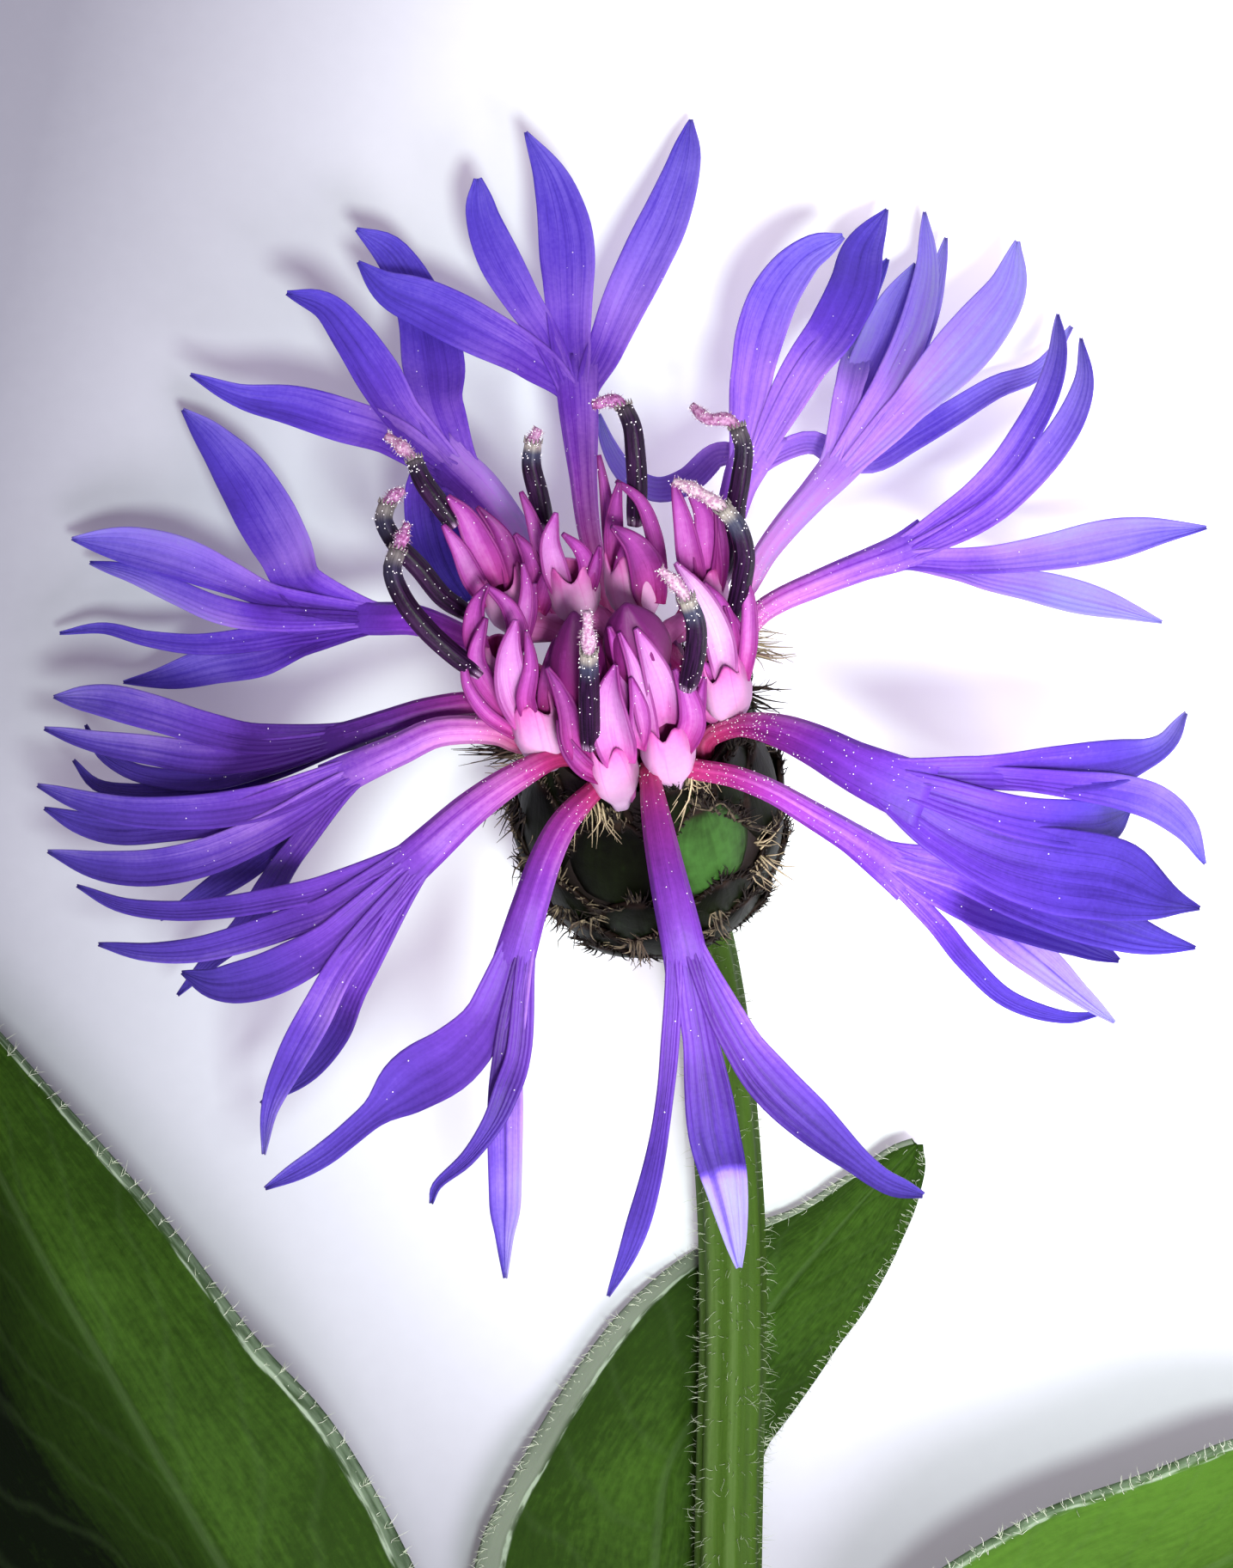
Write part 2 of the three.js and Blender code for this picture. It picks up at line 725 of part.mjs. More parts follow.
// Each column has its plan line from the throat of its floret to its mouth, and the style that stands out.
const ANTHER_COLUMNS = [
  {
    line: [
      [545, 715, 18.4], [515, 695, 19.6], [488, 662, 20.6], [460, 632, 21.2], [446, 605, 21.4],
      [450, 588, 21.4],
    ],
    style: [[460, 576, 21.2], [470, 571, 21]],
  },
  {
    line: [
      [556, 783, 20.6], [530, 764, 21.8], [496, 733, 22.6], [469, 698, 23], [456, 664, 23.2],
      [462, 642, 23],
    ],
    style: [[468, 626, 23], [474, 610, 22.8]],
  },
  {
    line: [[530, 612, 20.8], [511, 587, 21.2], [492, 560, 21.4], [482, 536, 21.4]],
    style: [[466, 519, 21.2], [450, 507, 21]],
  },
  {
    line: [[634, 612, 19.6], [626, 576, 20.6], [618, 541, 21.4], [620, 515, 21.8]],
    style: [[623, 506, 21.8], [627, 499, 21.8]],
  },
  {
    line: [[739, 610, 20], [741, 568, 21], [739, 530, 21.8], [735, 496, 22.2], [726, 474, 22.2]],
    style: [[712, 466, 22], [690, 472, 21.6]],
  },
  {
    line: [
      [838, 678, 17.8], [849, 650, 17.8], [854, 615, 18.3], [856, 588, 19], [861, 560, 19.8],
      [865, 522, 20.4], [858, 498, 20.6],
    ],
    style: [[846, 488, 20.6], [825, 488, 20.4], [805, 472, 20]],
  },
  {
    line: [
      [852, 722, 20.4], [857, 704, 21.2], [863, 675, 22.4], [866, 645, 23.4], [858, 614, 24.2],
      [842, 592, 24.6],
    ],
    style: [[828, 582, 24.6], [806, 569, 24.4], [784, 560, 24.2]],
  },
  {
    line: [[800, 800, 24.3], [809, 756, 26.2], [809, 725, 27.2], [799, 697, 27.8]],
    style: [[789, 682, 28], [768, 662, 28.2]],
  },
  {
    line: [[686, 868, 22.2], [685, 802, 25.6], [685, 758, 27.6]],
    style: [[684, 735, 28.4], [683, 712, 29]],
  },
];
const STYLE_WIDTHS = [0.9, 0.75, 0.5];
const ANTHER_SIDES = 7;

const antherRod = ({ line }, grow = 0) => {
  const widths = [ANTHER_WIDTH, ANTHER_WIDTH];
  return rod(line.map(spot), widths, { sides: ANTHER_SIDES, grow });
};
const styleRod = ({ line, style }, grow = 0) => {
  const points = [...line.slice(-2), ...style].map(spot);
  return rod(points, STYLE_WIDTHS, { steps: 4, grow });
};
const antherColumn = (column) => antherRod(column).add(styleRod(column));

// ---------------------------------------------------------------- involucre

// The urn's profile from its foot to its rim and down to the floor of its cup.
const URN_PROFILE = [
  [0, -18], [2.6, -17.7], [5.3, -16.2], [7.3, -13.2], [URN_RADIUS, -9.5], [7.7, -6], [6.8, -3],
  [5.9, -0.6],
  [5.4, 0], [5.05, -0.4], [4.9, -2.3], [0, -2.3],
];
const URN_SIDES = 20;
const OUTSIDE_RINGS = 8;
const BRACT_ROWS = [
  { start: 0.12, count: 7, length: 4.6, width: 4.6 },
  { start: 0.25, count: 9, length: 4.8, width: 4.8 },
  { start: 0.4, count: 10, length: 5, width: 5 },
  { start: 0.55, count: 10, length: 5.2, width: 4.8 },
  { start: 0.7, count: 10, length: 5.2, width: 4.2 },
];
const BRACT_OUTLINE = [[0, 0], [0.5, 0.5], [0.36, 1], [0.2, 0.88], [0, 1.06]];
const BRACT_LIFT = 0.75;
const BRACT_FOOT = 0.35;
const BRACT_SINK = 0.7;
const BRACT_SWELL = 0.2;
const BRACT_FREE = { from: 0.9, lift: 0.05 };
const LEAST_GIRTH = 2;
const RIM_FLARE = 0.3;

const outsideLine = new THREE.SplineCurve(
  URN_PROFILE.slice(0, OUTSIDE_RINGS).map(([radius, height]) => new THREE.Vector2(radius, height)),
);
const OUTSIDE_LENGTH = outsideLine.getLength();

// A point over the urn's outside: an angle, a distance along the profile from the foot, and a lift off it.
function onUrn(angle, distance, lift) {
  const share = distance / OUTSIDE_LENGTH;
  const inside = Math.min(share, 1);
  const at = outsideLine.getPointAt(inside);
  const tangent = outsideLine.getTangentAt(inside);
  const beyond = Math.max(0, share - 1) * OUTSIDE_LENGTH;
  const radius = at.x + tangent.y * lift + tangent.x * beyond * RIM_FLARE;
  const height = at.y - tangent.x * lift + tangent.y * beyond;
  return aboutHead(angle, radius, height);
}

// One bract: a shield with a toothed tip that stands off the urn, its lower face sunk into it.
function bract(angle, start, length, width) {
  const left = BRACT_OUTLINE.slice(1, -1).reverse().map(([x, y]) => [-x, y]);
  const outline = [...BRACT_OUTLINE, ...left];
  const place = ([x, y], lift) => {
    const distance = start + y * length;
    const girth = Math.max(outsideLine.getPointAt(Math.min(distance / OUTSIDE_LENGTH, 1)).x, LEAST_GIRTH);
    const turn = THREE.MathUtils.radToDeg((x * width) / girth);
    return onUrn(angle + turn, distance, lift);
  };
  const tops = outline.map((point) => {
    return place(point, BRACT_LIFT * THREE.MathUtils.lerp(BRACT_FOOT, 1, point[1]));
  });
  const bottoms = outline.map((point) => {
    return place(point, point[1] > BRACT_FREE.from ? BRACT_FREE.lift : -BRACT_SINK);
  });
  const crown = place([0, 0.5], BRACT_LIFT + BRACT_SWELL);
  const hidden = place([0, 0.5], -BRACT_SINK - BRACT_SWELL);
  const count = outline.length;
  const corners = [...tops, ...bottoms, crown, hidden];
  const triangles = [];
  for (let k = 0; k < count; k++) {
    const next = (k + 1) % count;
    triangles.push([2 * count, k, next], [2 * count + 1, count + next, count + k]);
    triangles.push([k, count + k, count + next], [k, count + next, next]);
  }
  return solid(corners, triangles);
}

function involucreSolid() {
  const bracts = BRACT_ROWS.flatMap(({ start, count, length, width }, row) =>
    Array.from({ length: count }, (_, k) => {
      const angle = (360 * (k + (row % 2) / 2)) / count;
      return bract(angle, start * OUTSIDE_LENGTH, length, width);
    }),
  );
  return joined([turned(URN_PROFILE, URN_SIDES), ...bracts]);
}

// Everything under the surface, as one big block.
const GROUND = { half: 200, deep: 20 };
function underground() {
  const signs = [[-1, -1], [1, -1], [1, 1], [-1, 1]];
  const ring = (z) => signs.map(([x, y]) => new THREE.Vector3(x * GROUND.half, y * GROUND.half, z));
  return loft([ring(-GROUND.deep), ring(0)]);
}

// ---------------------------------------------------------------- stem

const STEM_LINE = [
  [783, 1005, 4.6], [803, 1055, 3.5], [816, 1100, 2.7], [832, 1190, 2.4], [843, 1300, 2.8],
  [851, 1420, 3.3],
  [853, 1560, 3.4], [849, 1720, 3.4], [847, 1900, 3.2], [850, 2120, 2.8], [853, 2400, 2.2],
  [846, 2620, 1.8], [838, 2790, 1.7],
];
const STEM_STEPS = 26;
const STEM_RIBS = 5;
const RIB_DEPTH = 0.22;

function stemSolid(grow = 0) {
  const rings = stations(STEM_LINE.map(spot), STEM_STEPS, grow).map(({ at, side, face }) => {
    return Array.from({ length: 2 * STEM_RIBS }, (_, k) => {
      const turn = (Math.PI * (k + 0.5)) / STEM_RIBS;
      const reach = STEM_WIDTH / 2 - (k % 2) * RIB_DEPTH + grow;
      return at.clone()
        .addScaledVector(side, reach * Math.cos(turn))
        .addScaledVector(face, reach * Math.sin(turn));
    });
  });
  return loft(rings);
}

// ---------------------------------------------------------------- leaves

// Each leaf has three plan lines from its base on the stem to its tip: left edge, midrib and right edge.
const LEAVES = {
  leaf_1: {
    left: [
      [806, 2040, 2.6], [700, 2040, 2.2], [600, 1985, 2.4], [552, 1890, 3], [558, 1810, 3],
      [590, 1735, 2.6], [650, 1630, 2], [740, 1510, 1.4], [830, 1445, 1], [930, 1405, 1.6],
      [1000, 1362, 2.4], [1048, 1334, 3],
    ],
    rib: [
      [808, 2050, 2.4], [775, 1960, 1.6], [764, 1860, 1.2], [768, 1780, 1], [778, 1710, 0.9],
      [808, 1650, 0.7], [850, 1585, 0.6], [900, 1520, 0.6], [950, 1460, 0.8], [1000, 1402, 1.6],
      [1035, 1365, 2.2], [1060, 1340, 2.8],
    ],
    right: [
      [812, 2060, 2.4], [824, 1985, 0.6], [838, 1900, 0.6], [852, 1830, 0.6], [868, 1765, 0.6],
      [885, 1700, 0.6], [915, 1650, 0.6], [960, 1590, 0.8], [1010, 1515, 1.2], [1048, 1445, 2],
      [1066, 1395, 2.6], [1073, 1350, 3],
    ],
  },
  leaf_2: {
    left: [
      [812, 2500, 2.2], [660, 2440, 5], [480, 2310, 8], [290, 2080, 10.5], [142, 1825, 11.5],
      [56, 1710, 12], [0, 1600, 11.5], [-70, 1440, 9], [-130, 1270, 6], [-180, 1090, 3], [-203, 955, 0.9],
    ],
    rib: [
      [816, 2470, 3], [690, 2370, 7.5], [540, 2210, 11], [380, 2010, 13], [258, 1825, 14],
      [129, 1602, 14.5], [60, 1485, 14], [-10, 1350, 11.5], [-80, 1200, 8], [-155, 1050, 4],
      [-205, 948, 1],
    ],
    right: [
      [816, 2440, 3], [730, 2300, 6], [630, 2130, 8.5], [545, 1960, 10.5], [480, 1825, 11.5],
      [380, 1650, 12], [300, 1560, 12], [150, 1370, 10.5], [30, 1235, 8.5], [-110, 1085, 4.5],
      [-203, 942, 1],
    ],
  },
  leaf_3: {
    left: [
      [886, 2240, 3], [905, 2130, 4.5], [950, 2010, 6.5], [1020, 1900, 8], [1100, 1825, 9],
      [1200, 1770, 9.5], [1300, 1730, 9.5], [1435, 1680, 9], [1560, 1660, 6], [1690, 1690, 1],
    ],
    rib: [
      [886, 2262, 3], [940, 2180, 4.5], [1010, 2100, 6], [1100, 2010, 7], [1200, 1940, 7.5],
      [1300, 1880, 7.5], [1400, 1830, 7], [1500, 1780, 6], [1600, 1735, 4], [1693, 1696, 1],
    ],
    right: [
      [888, 2285, 3], [1000, 2250, 5], [1110, 2190, 6.5], [1220, 2120, 7.5], [1330, 2050, 8],
      [1430, 1980, 8], [1520, 1910, 7], [1600, 1830, 5], [1660, 1760, 3], [1695, 1702, 1],
    ],
  },
};
const LEAF_STEPS = 14;
const EDGE_WAVE = 0.35;
const WAVE_TURNS = 5;
const LEAF_LOWEST = 0.05;

// A leaf blade: five rows of points from edge to edge, with gently waved edges, alike above and below.
function leafSolid({ left, rib, right }) {
  const lines = [left, rib, right].map((line) => {
    return new THREE.CatmullRomCurve3(line.map(spot), false, "centripetal");
  });
  const rings = Array.from({ length: LEAF_STEPS + 1 }, (_, i) => {
    const along = i / LEAF_STEPS;
    const [l, m, r] = lines.map((line) => line.getPoint(along));
    const wave = EDGE_WAVE * Math.sin(Math.PI * along) * Math.sin(2 * Math.PI * WAVE_TURNS * along);
    l.z += wave;
    r.z -= wave;
    const row = [l, l.clone().lerp(m, 0.5), m, m.clone().lerp(r, 0.5), r];
    const across = r.clone().sub(l);
    const normal = new THREE.Vector3().crossVectors(across, lines[1].getTangent(along)).normalize();
    const shift = normal.multiplyScalar(Math.sign(normal.z) * LEAF_THICK);
    const below = row.map((point) => point.clone().sub(shift));
    for (const [k, point] of below.entries()) {
      const sink = LEAF_LOWEST - point.z;
      if (sink > 0) {
        point.z += sink;
        row[k].z = Math.max(row[k].z, point.z + LEAF_THICK);
      }
    }
    return [...row, ...below.reverse()];
  });
  return loftAlike(rings);
}

// A solid through rings whose upper and lower halves mirror each other, with the same diagonals on both.
function loftAlike(rings) {
  const size = rings[0].length;
  const corners = rings.flat();
  const triangles = [];
  for (let i = 0; i + 1 < rings.length; i++) {
    const [low, high] = [i * size, (i + 1) * size];
    for (let k = 0; k < size; k++) {
      const next = (k + 1) % size;
      const [a, b, c, d] = [low + k, low + next, high + next, high + k];
      if (k < size / 2) triangles.push([a, b, c], [a, c, d]);
      else triangles.push([a, b, d], [b, c, d]);
    }
  }
  for (let k = 0; k + 1 < size / 2; k++) {
    const mirror = size - 1 - k;
    triangles.push([k, mirror, k + 1], [mirror, mirror - 1, k + 1]);
    const end = corners.length - size;
    triangles.push([end + k, end + k + 1, end + mirror], [end + mirror, end + k + 1, end + mirror - 1]);
  }
  return solid(corners, triangles);
}

// ---------------------------------------------------------------- assembly

const material = (color, roughness) => new THREE.MeshStandardMaterial({ color, roughness, metalness: 0 });

function meshOf(name, piece, look) {
  const { vertProperties, triVerts } = piece.getMesh();
  const geometry = new THREE.BufferGeometry();
  geometry.setAttribute("position", new THREE.BufferAttribute(new Float32Array(vertProperties), 3));
  geometry.setIndex(new THREE.BufferAttribute(new Uint32Array(triVerts), 1));
  geometry.computeVertexNormals();
  const mesh = new THREE.Mesh(geometry, look);
  mesh.name = name;
  return mesh;
}

const flower = new THREE.Group();
const ground = underground();
const grownStem = stemSolid(CLEARANCE);
const grownTubes = joined(RAY_FLORETS.map((floret) => rayTube(floret, CLEARANCE)));
const grownColumns = joined(
  ANTHER_COLUMNS.flatMap((column) => [antherRod(column, CLEARANCE), styleRod(column, CLEARANCE)]),
);

const stem = stemSolid().subtract(ground);
flower.add(meshOf("stem", wholeBody(stem), material(0x5f7f3c, 0.7)));

const involucre = involucreSolid().subtract(ground).subtract(grownStem).subtract(grownTubes);
flower.add(meshOf("involucre", wholeBody(involucre), material(0x46703c, 0.55)));

for (const [i, floret] of RAY_FLORETS.entries()) {
  const name = `ray_floret_${String(i + 1).padStart(2, "0")}`;
  flower.add(meshOf(name, rayFloret(floret), material(0x5a3cc8, 0.5)));
}

const core = turned(CORE_PROFILE, CORE_SIDES);
const disc = joined([core, ...DISC_FLORETS.map(discFloret), ...CLOSED_BUDS.map(closedBud)]);
const clearDisc = disc.subtract(grownTubes).subtract(grownColumns);
flower.add(meshOf("disc_corollas", wholeBody(clearDisc), material(0xd05ab4, 0.5)));

for (const [i, column] of ANTHER_COLUMNS.entries()) {
  flower.add(meshOf(`anther_column_${i + 1}`, antherColumn(column), material(0x2b1733, 0.45)));
}

for (const [name, lines] of Object.entries(LEAVES)) {
  const leaf = leafSolid(lines).subtract(grownStem);
  flower.add(meshOf(name, wholeBody(leaf), material(0x3c6e28, 0.6)));
}

export default flower;
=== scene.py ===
"""Mountain cornflower (Centaurea montana): one flower head on its leafy stem, lying on a pale floor."""

import math
from collections import namedtuple

import bpy
import numpy as np
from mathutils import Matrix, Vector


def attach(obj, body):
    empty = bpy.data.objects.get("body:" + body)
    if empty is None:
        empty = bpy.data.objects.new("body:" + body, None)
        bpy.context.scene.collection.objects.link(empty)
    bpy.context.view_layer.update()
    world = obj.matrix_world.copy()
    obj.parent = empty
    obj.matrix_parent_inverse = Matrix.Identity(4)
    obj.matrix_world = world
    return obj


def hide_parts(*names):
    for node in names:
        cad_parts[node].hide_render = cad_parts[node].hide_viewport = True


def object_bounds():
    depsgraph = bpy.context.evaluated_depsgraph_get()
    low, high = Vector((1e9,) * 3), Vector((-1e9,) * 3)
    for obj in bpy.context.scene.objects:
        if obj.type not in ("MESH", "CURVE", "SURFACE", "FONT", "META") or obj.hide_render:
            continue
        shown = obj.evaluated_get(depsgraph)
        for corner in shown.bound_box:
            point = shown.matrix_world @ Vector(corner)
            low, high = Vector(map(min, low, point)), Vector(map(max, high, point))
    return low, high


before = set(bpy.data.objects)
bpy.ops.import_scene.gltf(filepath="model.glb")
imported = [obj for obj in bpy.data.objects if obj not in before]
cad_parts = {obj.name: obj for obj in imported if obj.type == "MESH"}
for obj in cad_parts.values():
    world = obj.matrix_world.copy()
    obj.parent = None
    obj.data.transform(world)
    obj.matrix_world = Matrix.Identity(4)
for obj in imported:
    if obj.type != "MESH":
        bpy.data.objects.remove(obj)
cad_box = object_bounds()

# ---------------------------------------------------------------- dimensions, in millimetres

MM = 0.001
EYE = np.array([-1.87, 2.3, 150.0])
PLAN_CENTRE = (717.5, 912.5)
PLAN_REACH = 2842
PLAN_UNIT = 0.05

UP = np.array([0.0, 0.0, 1.0])
URN_CENTRE = np.array([0.0, 0.93, 8.45])
MOUTH_HEIGHT = 8.5

PETAL_THICK = 0.2
DISC_PETAL_THICK = 0.17
TUBE_THICK = 1.3
BRACT_THICK = 0.3
LEAF_THICK = 0.35
ANTHER_WIDTH = 1.1
STEM_WIDTH = 3.9

RANDOM = np.random.default_rng(20)


def unit(vectors):
    """Vectors of length one, row by row."""
    vectors = np.asarray(vectors, float)
    return vectors / np.maximum(np.linalg.norm(vectors, axis=-1, keepdims=True), 1e-9)


HEAD_AXIS = unit([-0.08, 0.615, 0.785])
ACROSS = unit(np.cross(HEAD_AXIS, UP))
UPWARD = unit(np.cross(HEAD_AXIS, ACROSS))
MOUTH = URN_CENTRE + MOUTH_HEIGHT * HEAD_AXIS

# ---------------------------------------------------------------- frames and lines


def spot(u, v, height):
    """The place of a plan point: u to the right and v to the cut end, in plan units, at a height."""
    scale = (EYE[2] - height) / PLAN_REACH
    return np.array([EYE[0] + (u - PLAN_CENTRE[0]) * scale, EYE[1] + (PLAN_CENTRE[1] - v) * scale, height])


def spots(points):
    """The places of several plan points."""
    return np.array([spot(*point) for point in points])


def about_head(angle, radius, height):
    """Places about the head's axis: degrees, distance from the axis and height over its mouth."""
    grids = np.radians(angle), radius, height
    turn, radius, height = (np.asarray(grid, float)[..., None] for grid in grids)
    return MOUTH + radius * (np.cos(turn) * ACROSS + np.sin(turn) * UPWARD) + height * HEAD_AXIS


def smooth_line(points, count, dense=16):
    """Evenly spaced places on a smooth curve through the points."""
    points = np.asarray(points, float)
    ends = 2 * points[0] - points[1], 2 * points[-1] - points[-2]
    knots = np.vstack([ends[0], points, ends[1]])
    runs = []
    share = np.linspace(0, 1, dense, endpoint=False)[:, None]
    for a, b, c, d in zip(knots, knots[1:], knots[2:], knots[3:]):
        gaps = [max(np.linalg.norm(q - p) ** 0.5, 1e-4) for p, q in ((a, b), (b, c), (c, d))]
        start = (b - a) / gaps[0] - (c - a) / (gaps[0] + gaps[1]) + (c - b) / gaps[1]
        end = (c - b) / gaps[1] - (d - b) / (gaps[1] + gaps[2]) + (d - c) / gaps[2]
        start, end = start * gaps[1], end * gaps[1]
        cubic = 2 * b - 2 * c + start + end
        square = -3 * b + 3 * c - 2 * start - end
        runs.append(b + share * (start + share * (square + share * cubic)))
    curve = np.vstack(runs + [points[-1:]])
    lengths = np.concatenate([[0], np.cumsum(np.linalg.norm(np.diff(curve, axis=0), axis=1))])
    even = np.linspace(0, lengths[-1], count)
    return np.stack([np.interp(even, lengths, curve[:, k]) for k in range(3)], axis=1)


def line_length(line):
    """How long a line of places is."""
    return float(np.linalg.norm(np.diff(line, axis=0), axis=1).sum())


def frames(line, reference=UP):
    """Directions to the right of a line and out of its face, which looks towards the reference."""
    ahead = unit(np.gradient(line, axis=0))
    side = unit(np.cross(ahead, reference))
    return side, unit(np.cross(side, ahead))


def straight(values, place):
    """Values at even spaces, read in straight lines at places from 0 to 1."""
    return np.interp(place, np.linspace(0, 1, len(values)), values)


def blend(values, place):
    """Values at even spaces, read smoothly at places from 0 to 1."""
    values = np.asarray(values, float)
    reach = np.clip(np.asarray(place, float), 0, 1) * (len(values) - 1)
    low = np.clip(np.floor(reach).astype(int), 0, len(values) - 2)
    share = reach - low
    padded = np.concatenate([[2 * values[0] - values[1]], values, [2 * values[-1] - values[-2]]])
    a, b, c, d = (padded[low + k] for k in range(4))
    bend = (c - a) / 2 + share * (a - 2.5 * b + 2 * c - d / 2 + share * (1.5 * (b - c) + (d - a) / 2))
    return b + share * bend


def smooth_step(value, low, high):
    """From 0 at low to 1 at high, with soft ends."""
    share = np.clip((value - low) / (high - low), 0, 1)
    return share * share * (3 - 2 * share)


# ---------------------------------------------------------------- meshes


class Shape:
    """Surfaces gathered for one mesh, with four painted numbers for each point."""

    def __init__(self):
        self.points = []
        self.paint = []
        self.faces = []
        self.count = 0

    def add(self, points, faces, paint):
        """Points (n, 3), their faces in groups of three or four columns, and their paint (n, 4)."""
        self.points.append(points)
        self.paint.append(np.broadcast_to(paint, (len(points), 4)))
        self.faces.extend(group + self.count for group in faces)
        self.count += len(points)

    def loft(self, rings, paint):
        """A closed surface through a row of rings (n, k, 3), painted (n, k, 4)."""
        rows, size = rings.shape[:2]
        index = np.arange(rows * size).reshape(rows, size)
        turned = np.roll(index, -1, axis=1)
        quads = np.stack([index[:-1], turned[:-1], turned[1:], index[1:]], axis=-1).reshape(-1, 4)
        start, end = np.full(size, rows * size), np.full(size, rows * size + 1)
        caps = np.vstack([
            np.stack([start, turned[0], index[0]], axis=1),
            np.stack([end, index[-1], turned[-1]], axis=1),
        ])
        points = np.vstack([rings.reshape(-1, 3), rings[0].mean(0), rings[-1].mean(0)])
        corners = points[quads]
        crossed = np.cross(corners[:, 1] - corners[:, 0], corners[:, 2] - corners[:, 0])
        outward = np.einsum("ij,ij->i", corners[:, 0] - points.mean(0), crossed).sum()
        if outward < 0:
            quads, caps = quads[:, ::-1], caps[:, ::-1]
        paint = np.vstack([paint.reshape(-1, 4), paint[0].mean(0), paint[-1].mean(0)])
        self.add(points, [quads, caps], paint)

    def piece(self, name, material, slot, *nodes):
        """The mesh as an object that rides on the flower's body and stands for CAD nodes."""
        mesh = bpy.data.meshes.new(name)
        points = np.clip(np.vstack(self.points) * MM, *cad_box)
        mesh.vertices.add(len(points))
        mesh.vertices.foreach_set("co", points.ravel())
        corners = np.concatenate([group.ravel() for group in self.faces])
        sizes = np.concatenate([np.full(len(group), group.shape[1]) for group in self.faces])
        mesh.loops.add(len(corners))
        mesh.loops.foreach_set("vertex_index", corners.astype(np.int32))
        mesh.polygons.add(len(sizes))
        mesh.polygons.foreach_set("loop_start", (np.cumsum(sizes) - sizes).astype(np.int32))
        mesh.update(calc_edges=True)
        mesh.shade_smooth()
        layer = mesh.color_attributes.new("paint", "FLOAT_COLOR", "POINT")
        layer.data.foreach_set("color", np.vstack(self.paint).astype(np.float32).ravel())
        mesh.materials.append(material)
        piece = bpy.data.objects.new(name, mesh)
        bpy.context.scene.collection.objects.link(piece)
        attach(piece, "root")
        if nodes:
            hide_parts(*nodes)


def painted(along, across, tone, seed):
    """Paint from four numbers or grids: along, across, tone and seed."""
    return np.stack(np.broadcast_arrays(along, across, tone, seed), axis=-1).astype(float)


EDGE_ROUNDING = 0.4
HAIR_TIP = 0.15
HAIR_FACE = np.array([0.31, 0.2, 0.93])


def shell(shape, top, thick, paint):
    """A thin closed sheet under a grid (n, m, 3), rounded off at its edges."""
    over = np.gradient(top, axis=1)
    normal = unit(np.cross(over, np.gradient(top, axis=0)))
    thick = np.broadcast_to(thick, top.shape[:2])[..., None]
    bottom = top - normal * thick
    middle = (top + bottom) / 2
    over = unit(over)
    left = middle[:, :1] - over[:, :1] * thick[:, :1] * EDGE_ROUNDING
    right = middle[:, -1:] + over[:, -1:] * thick[:, -1:] * EDGE_ROUNDING
    rings = np.concatenate([top, right, bottom[:, ::-1], left], axis=1)
    shape.loft(rings, np.concatenate([paint, paint[:, -1:], paint[:, ::-1], paint[:, :1]], axis=1))


def rod_rings(line, width, thick, sides, ribs=0, rib_depth=0.0, reference=UP):
    """Rings round a line: elliptical, with ribs; also each ring point's turn in radians."""
    side, face = frames(line, reference)
    turn = 2 * np.pi * (np.arange(sides) + 0.5) / sides
    rib = 1 + rib_depth * np.cos(ribs * turn)
    wide = np.broadcast_to(width, len(line))[:, None, None] / 2
    high = np.broadcast_to(thick, len(line))[:, None, None] / 2
    out = side[:, None] * wide * (rib * np.cos(turn))[None, :, None]
    rise = face[:, None] * high * (rib * np.sin(turn))[None, :, None]
    return line[:, None] + out + rise, turn


def strand(shape, points, width, tone, seed=0.5, along=0.5, steps=3):
    """A thin three-sided hair that tapers to its tip."""
    line = smooth_line(points, steps + 1, 4)
    taper = width * np.linspace(1, HAIR_TIP, steps + 1)
    rings, _ = rod_rings(line, taper, taper, 3, reference=HAIR_FACE)
    shape.loft(rings, np.broadcast_to((along, 0.5, tone, seed), rings.shape[:2] + (4,)))


# ---------------------------------------------------------------- tables of the flower

# A ray floret: the angle of its root about the head's axis, the tones of its left and right side, its tones
# at three places up its tube, how much paler its lobes are, its widths up the tube, its tube's plan line with
# heights, its lobes, how far across the tone of its left side reaches, and its pollen.
Ray = namedtuple("Ray", "angle sides shades lift widths tube lobes split pollen", defaults=(0.2, 30))

# A lobe of it: its greatest width in plan units, its heights at tip, middle and throat, its plan line from
# tip to throat, its tones and the shares of its width from throat to tip, how much paler its right side is,
# how dark the painted shade in the crease down its middle is, and where a pale tip begins (past the end,
# where it has none).
Lobe = namedtuple("Lobe", "width heights line tone shares side crease pale_tip", defaults=(0, 0.12, 2))

LANCE = [0.72, 0.86, 0.96, 1, 0.97, 0.86, 0.66, 0.38, 0.03]
BLUNT = [0.75, 0.88, 0.96, 1, 0.98, 0.9, 0.78, 0.56, 0.08]
LATE = [0.55, 0.62, 0.74, 0.88, 1, 0.98, 0.76, 0.42, 0.03]
STRAP = [0.9, 1, 1, 0.95, 0.88, 0.78, 0.62, 0.42, 0.05]

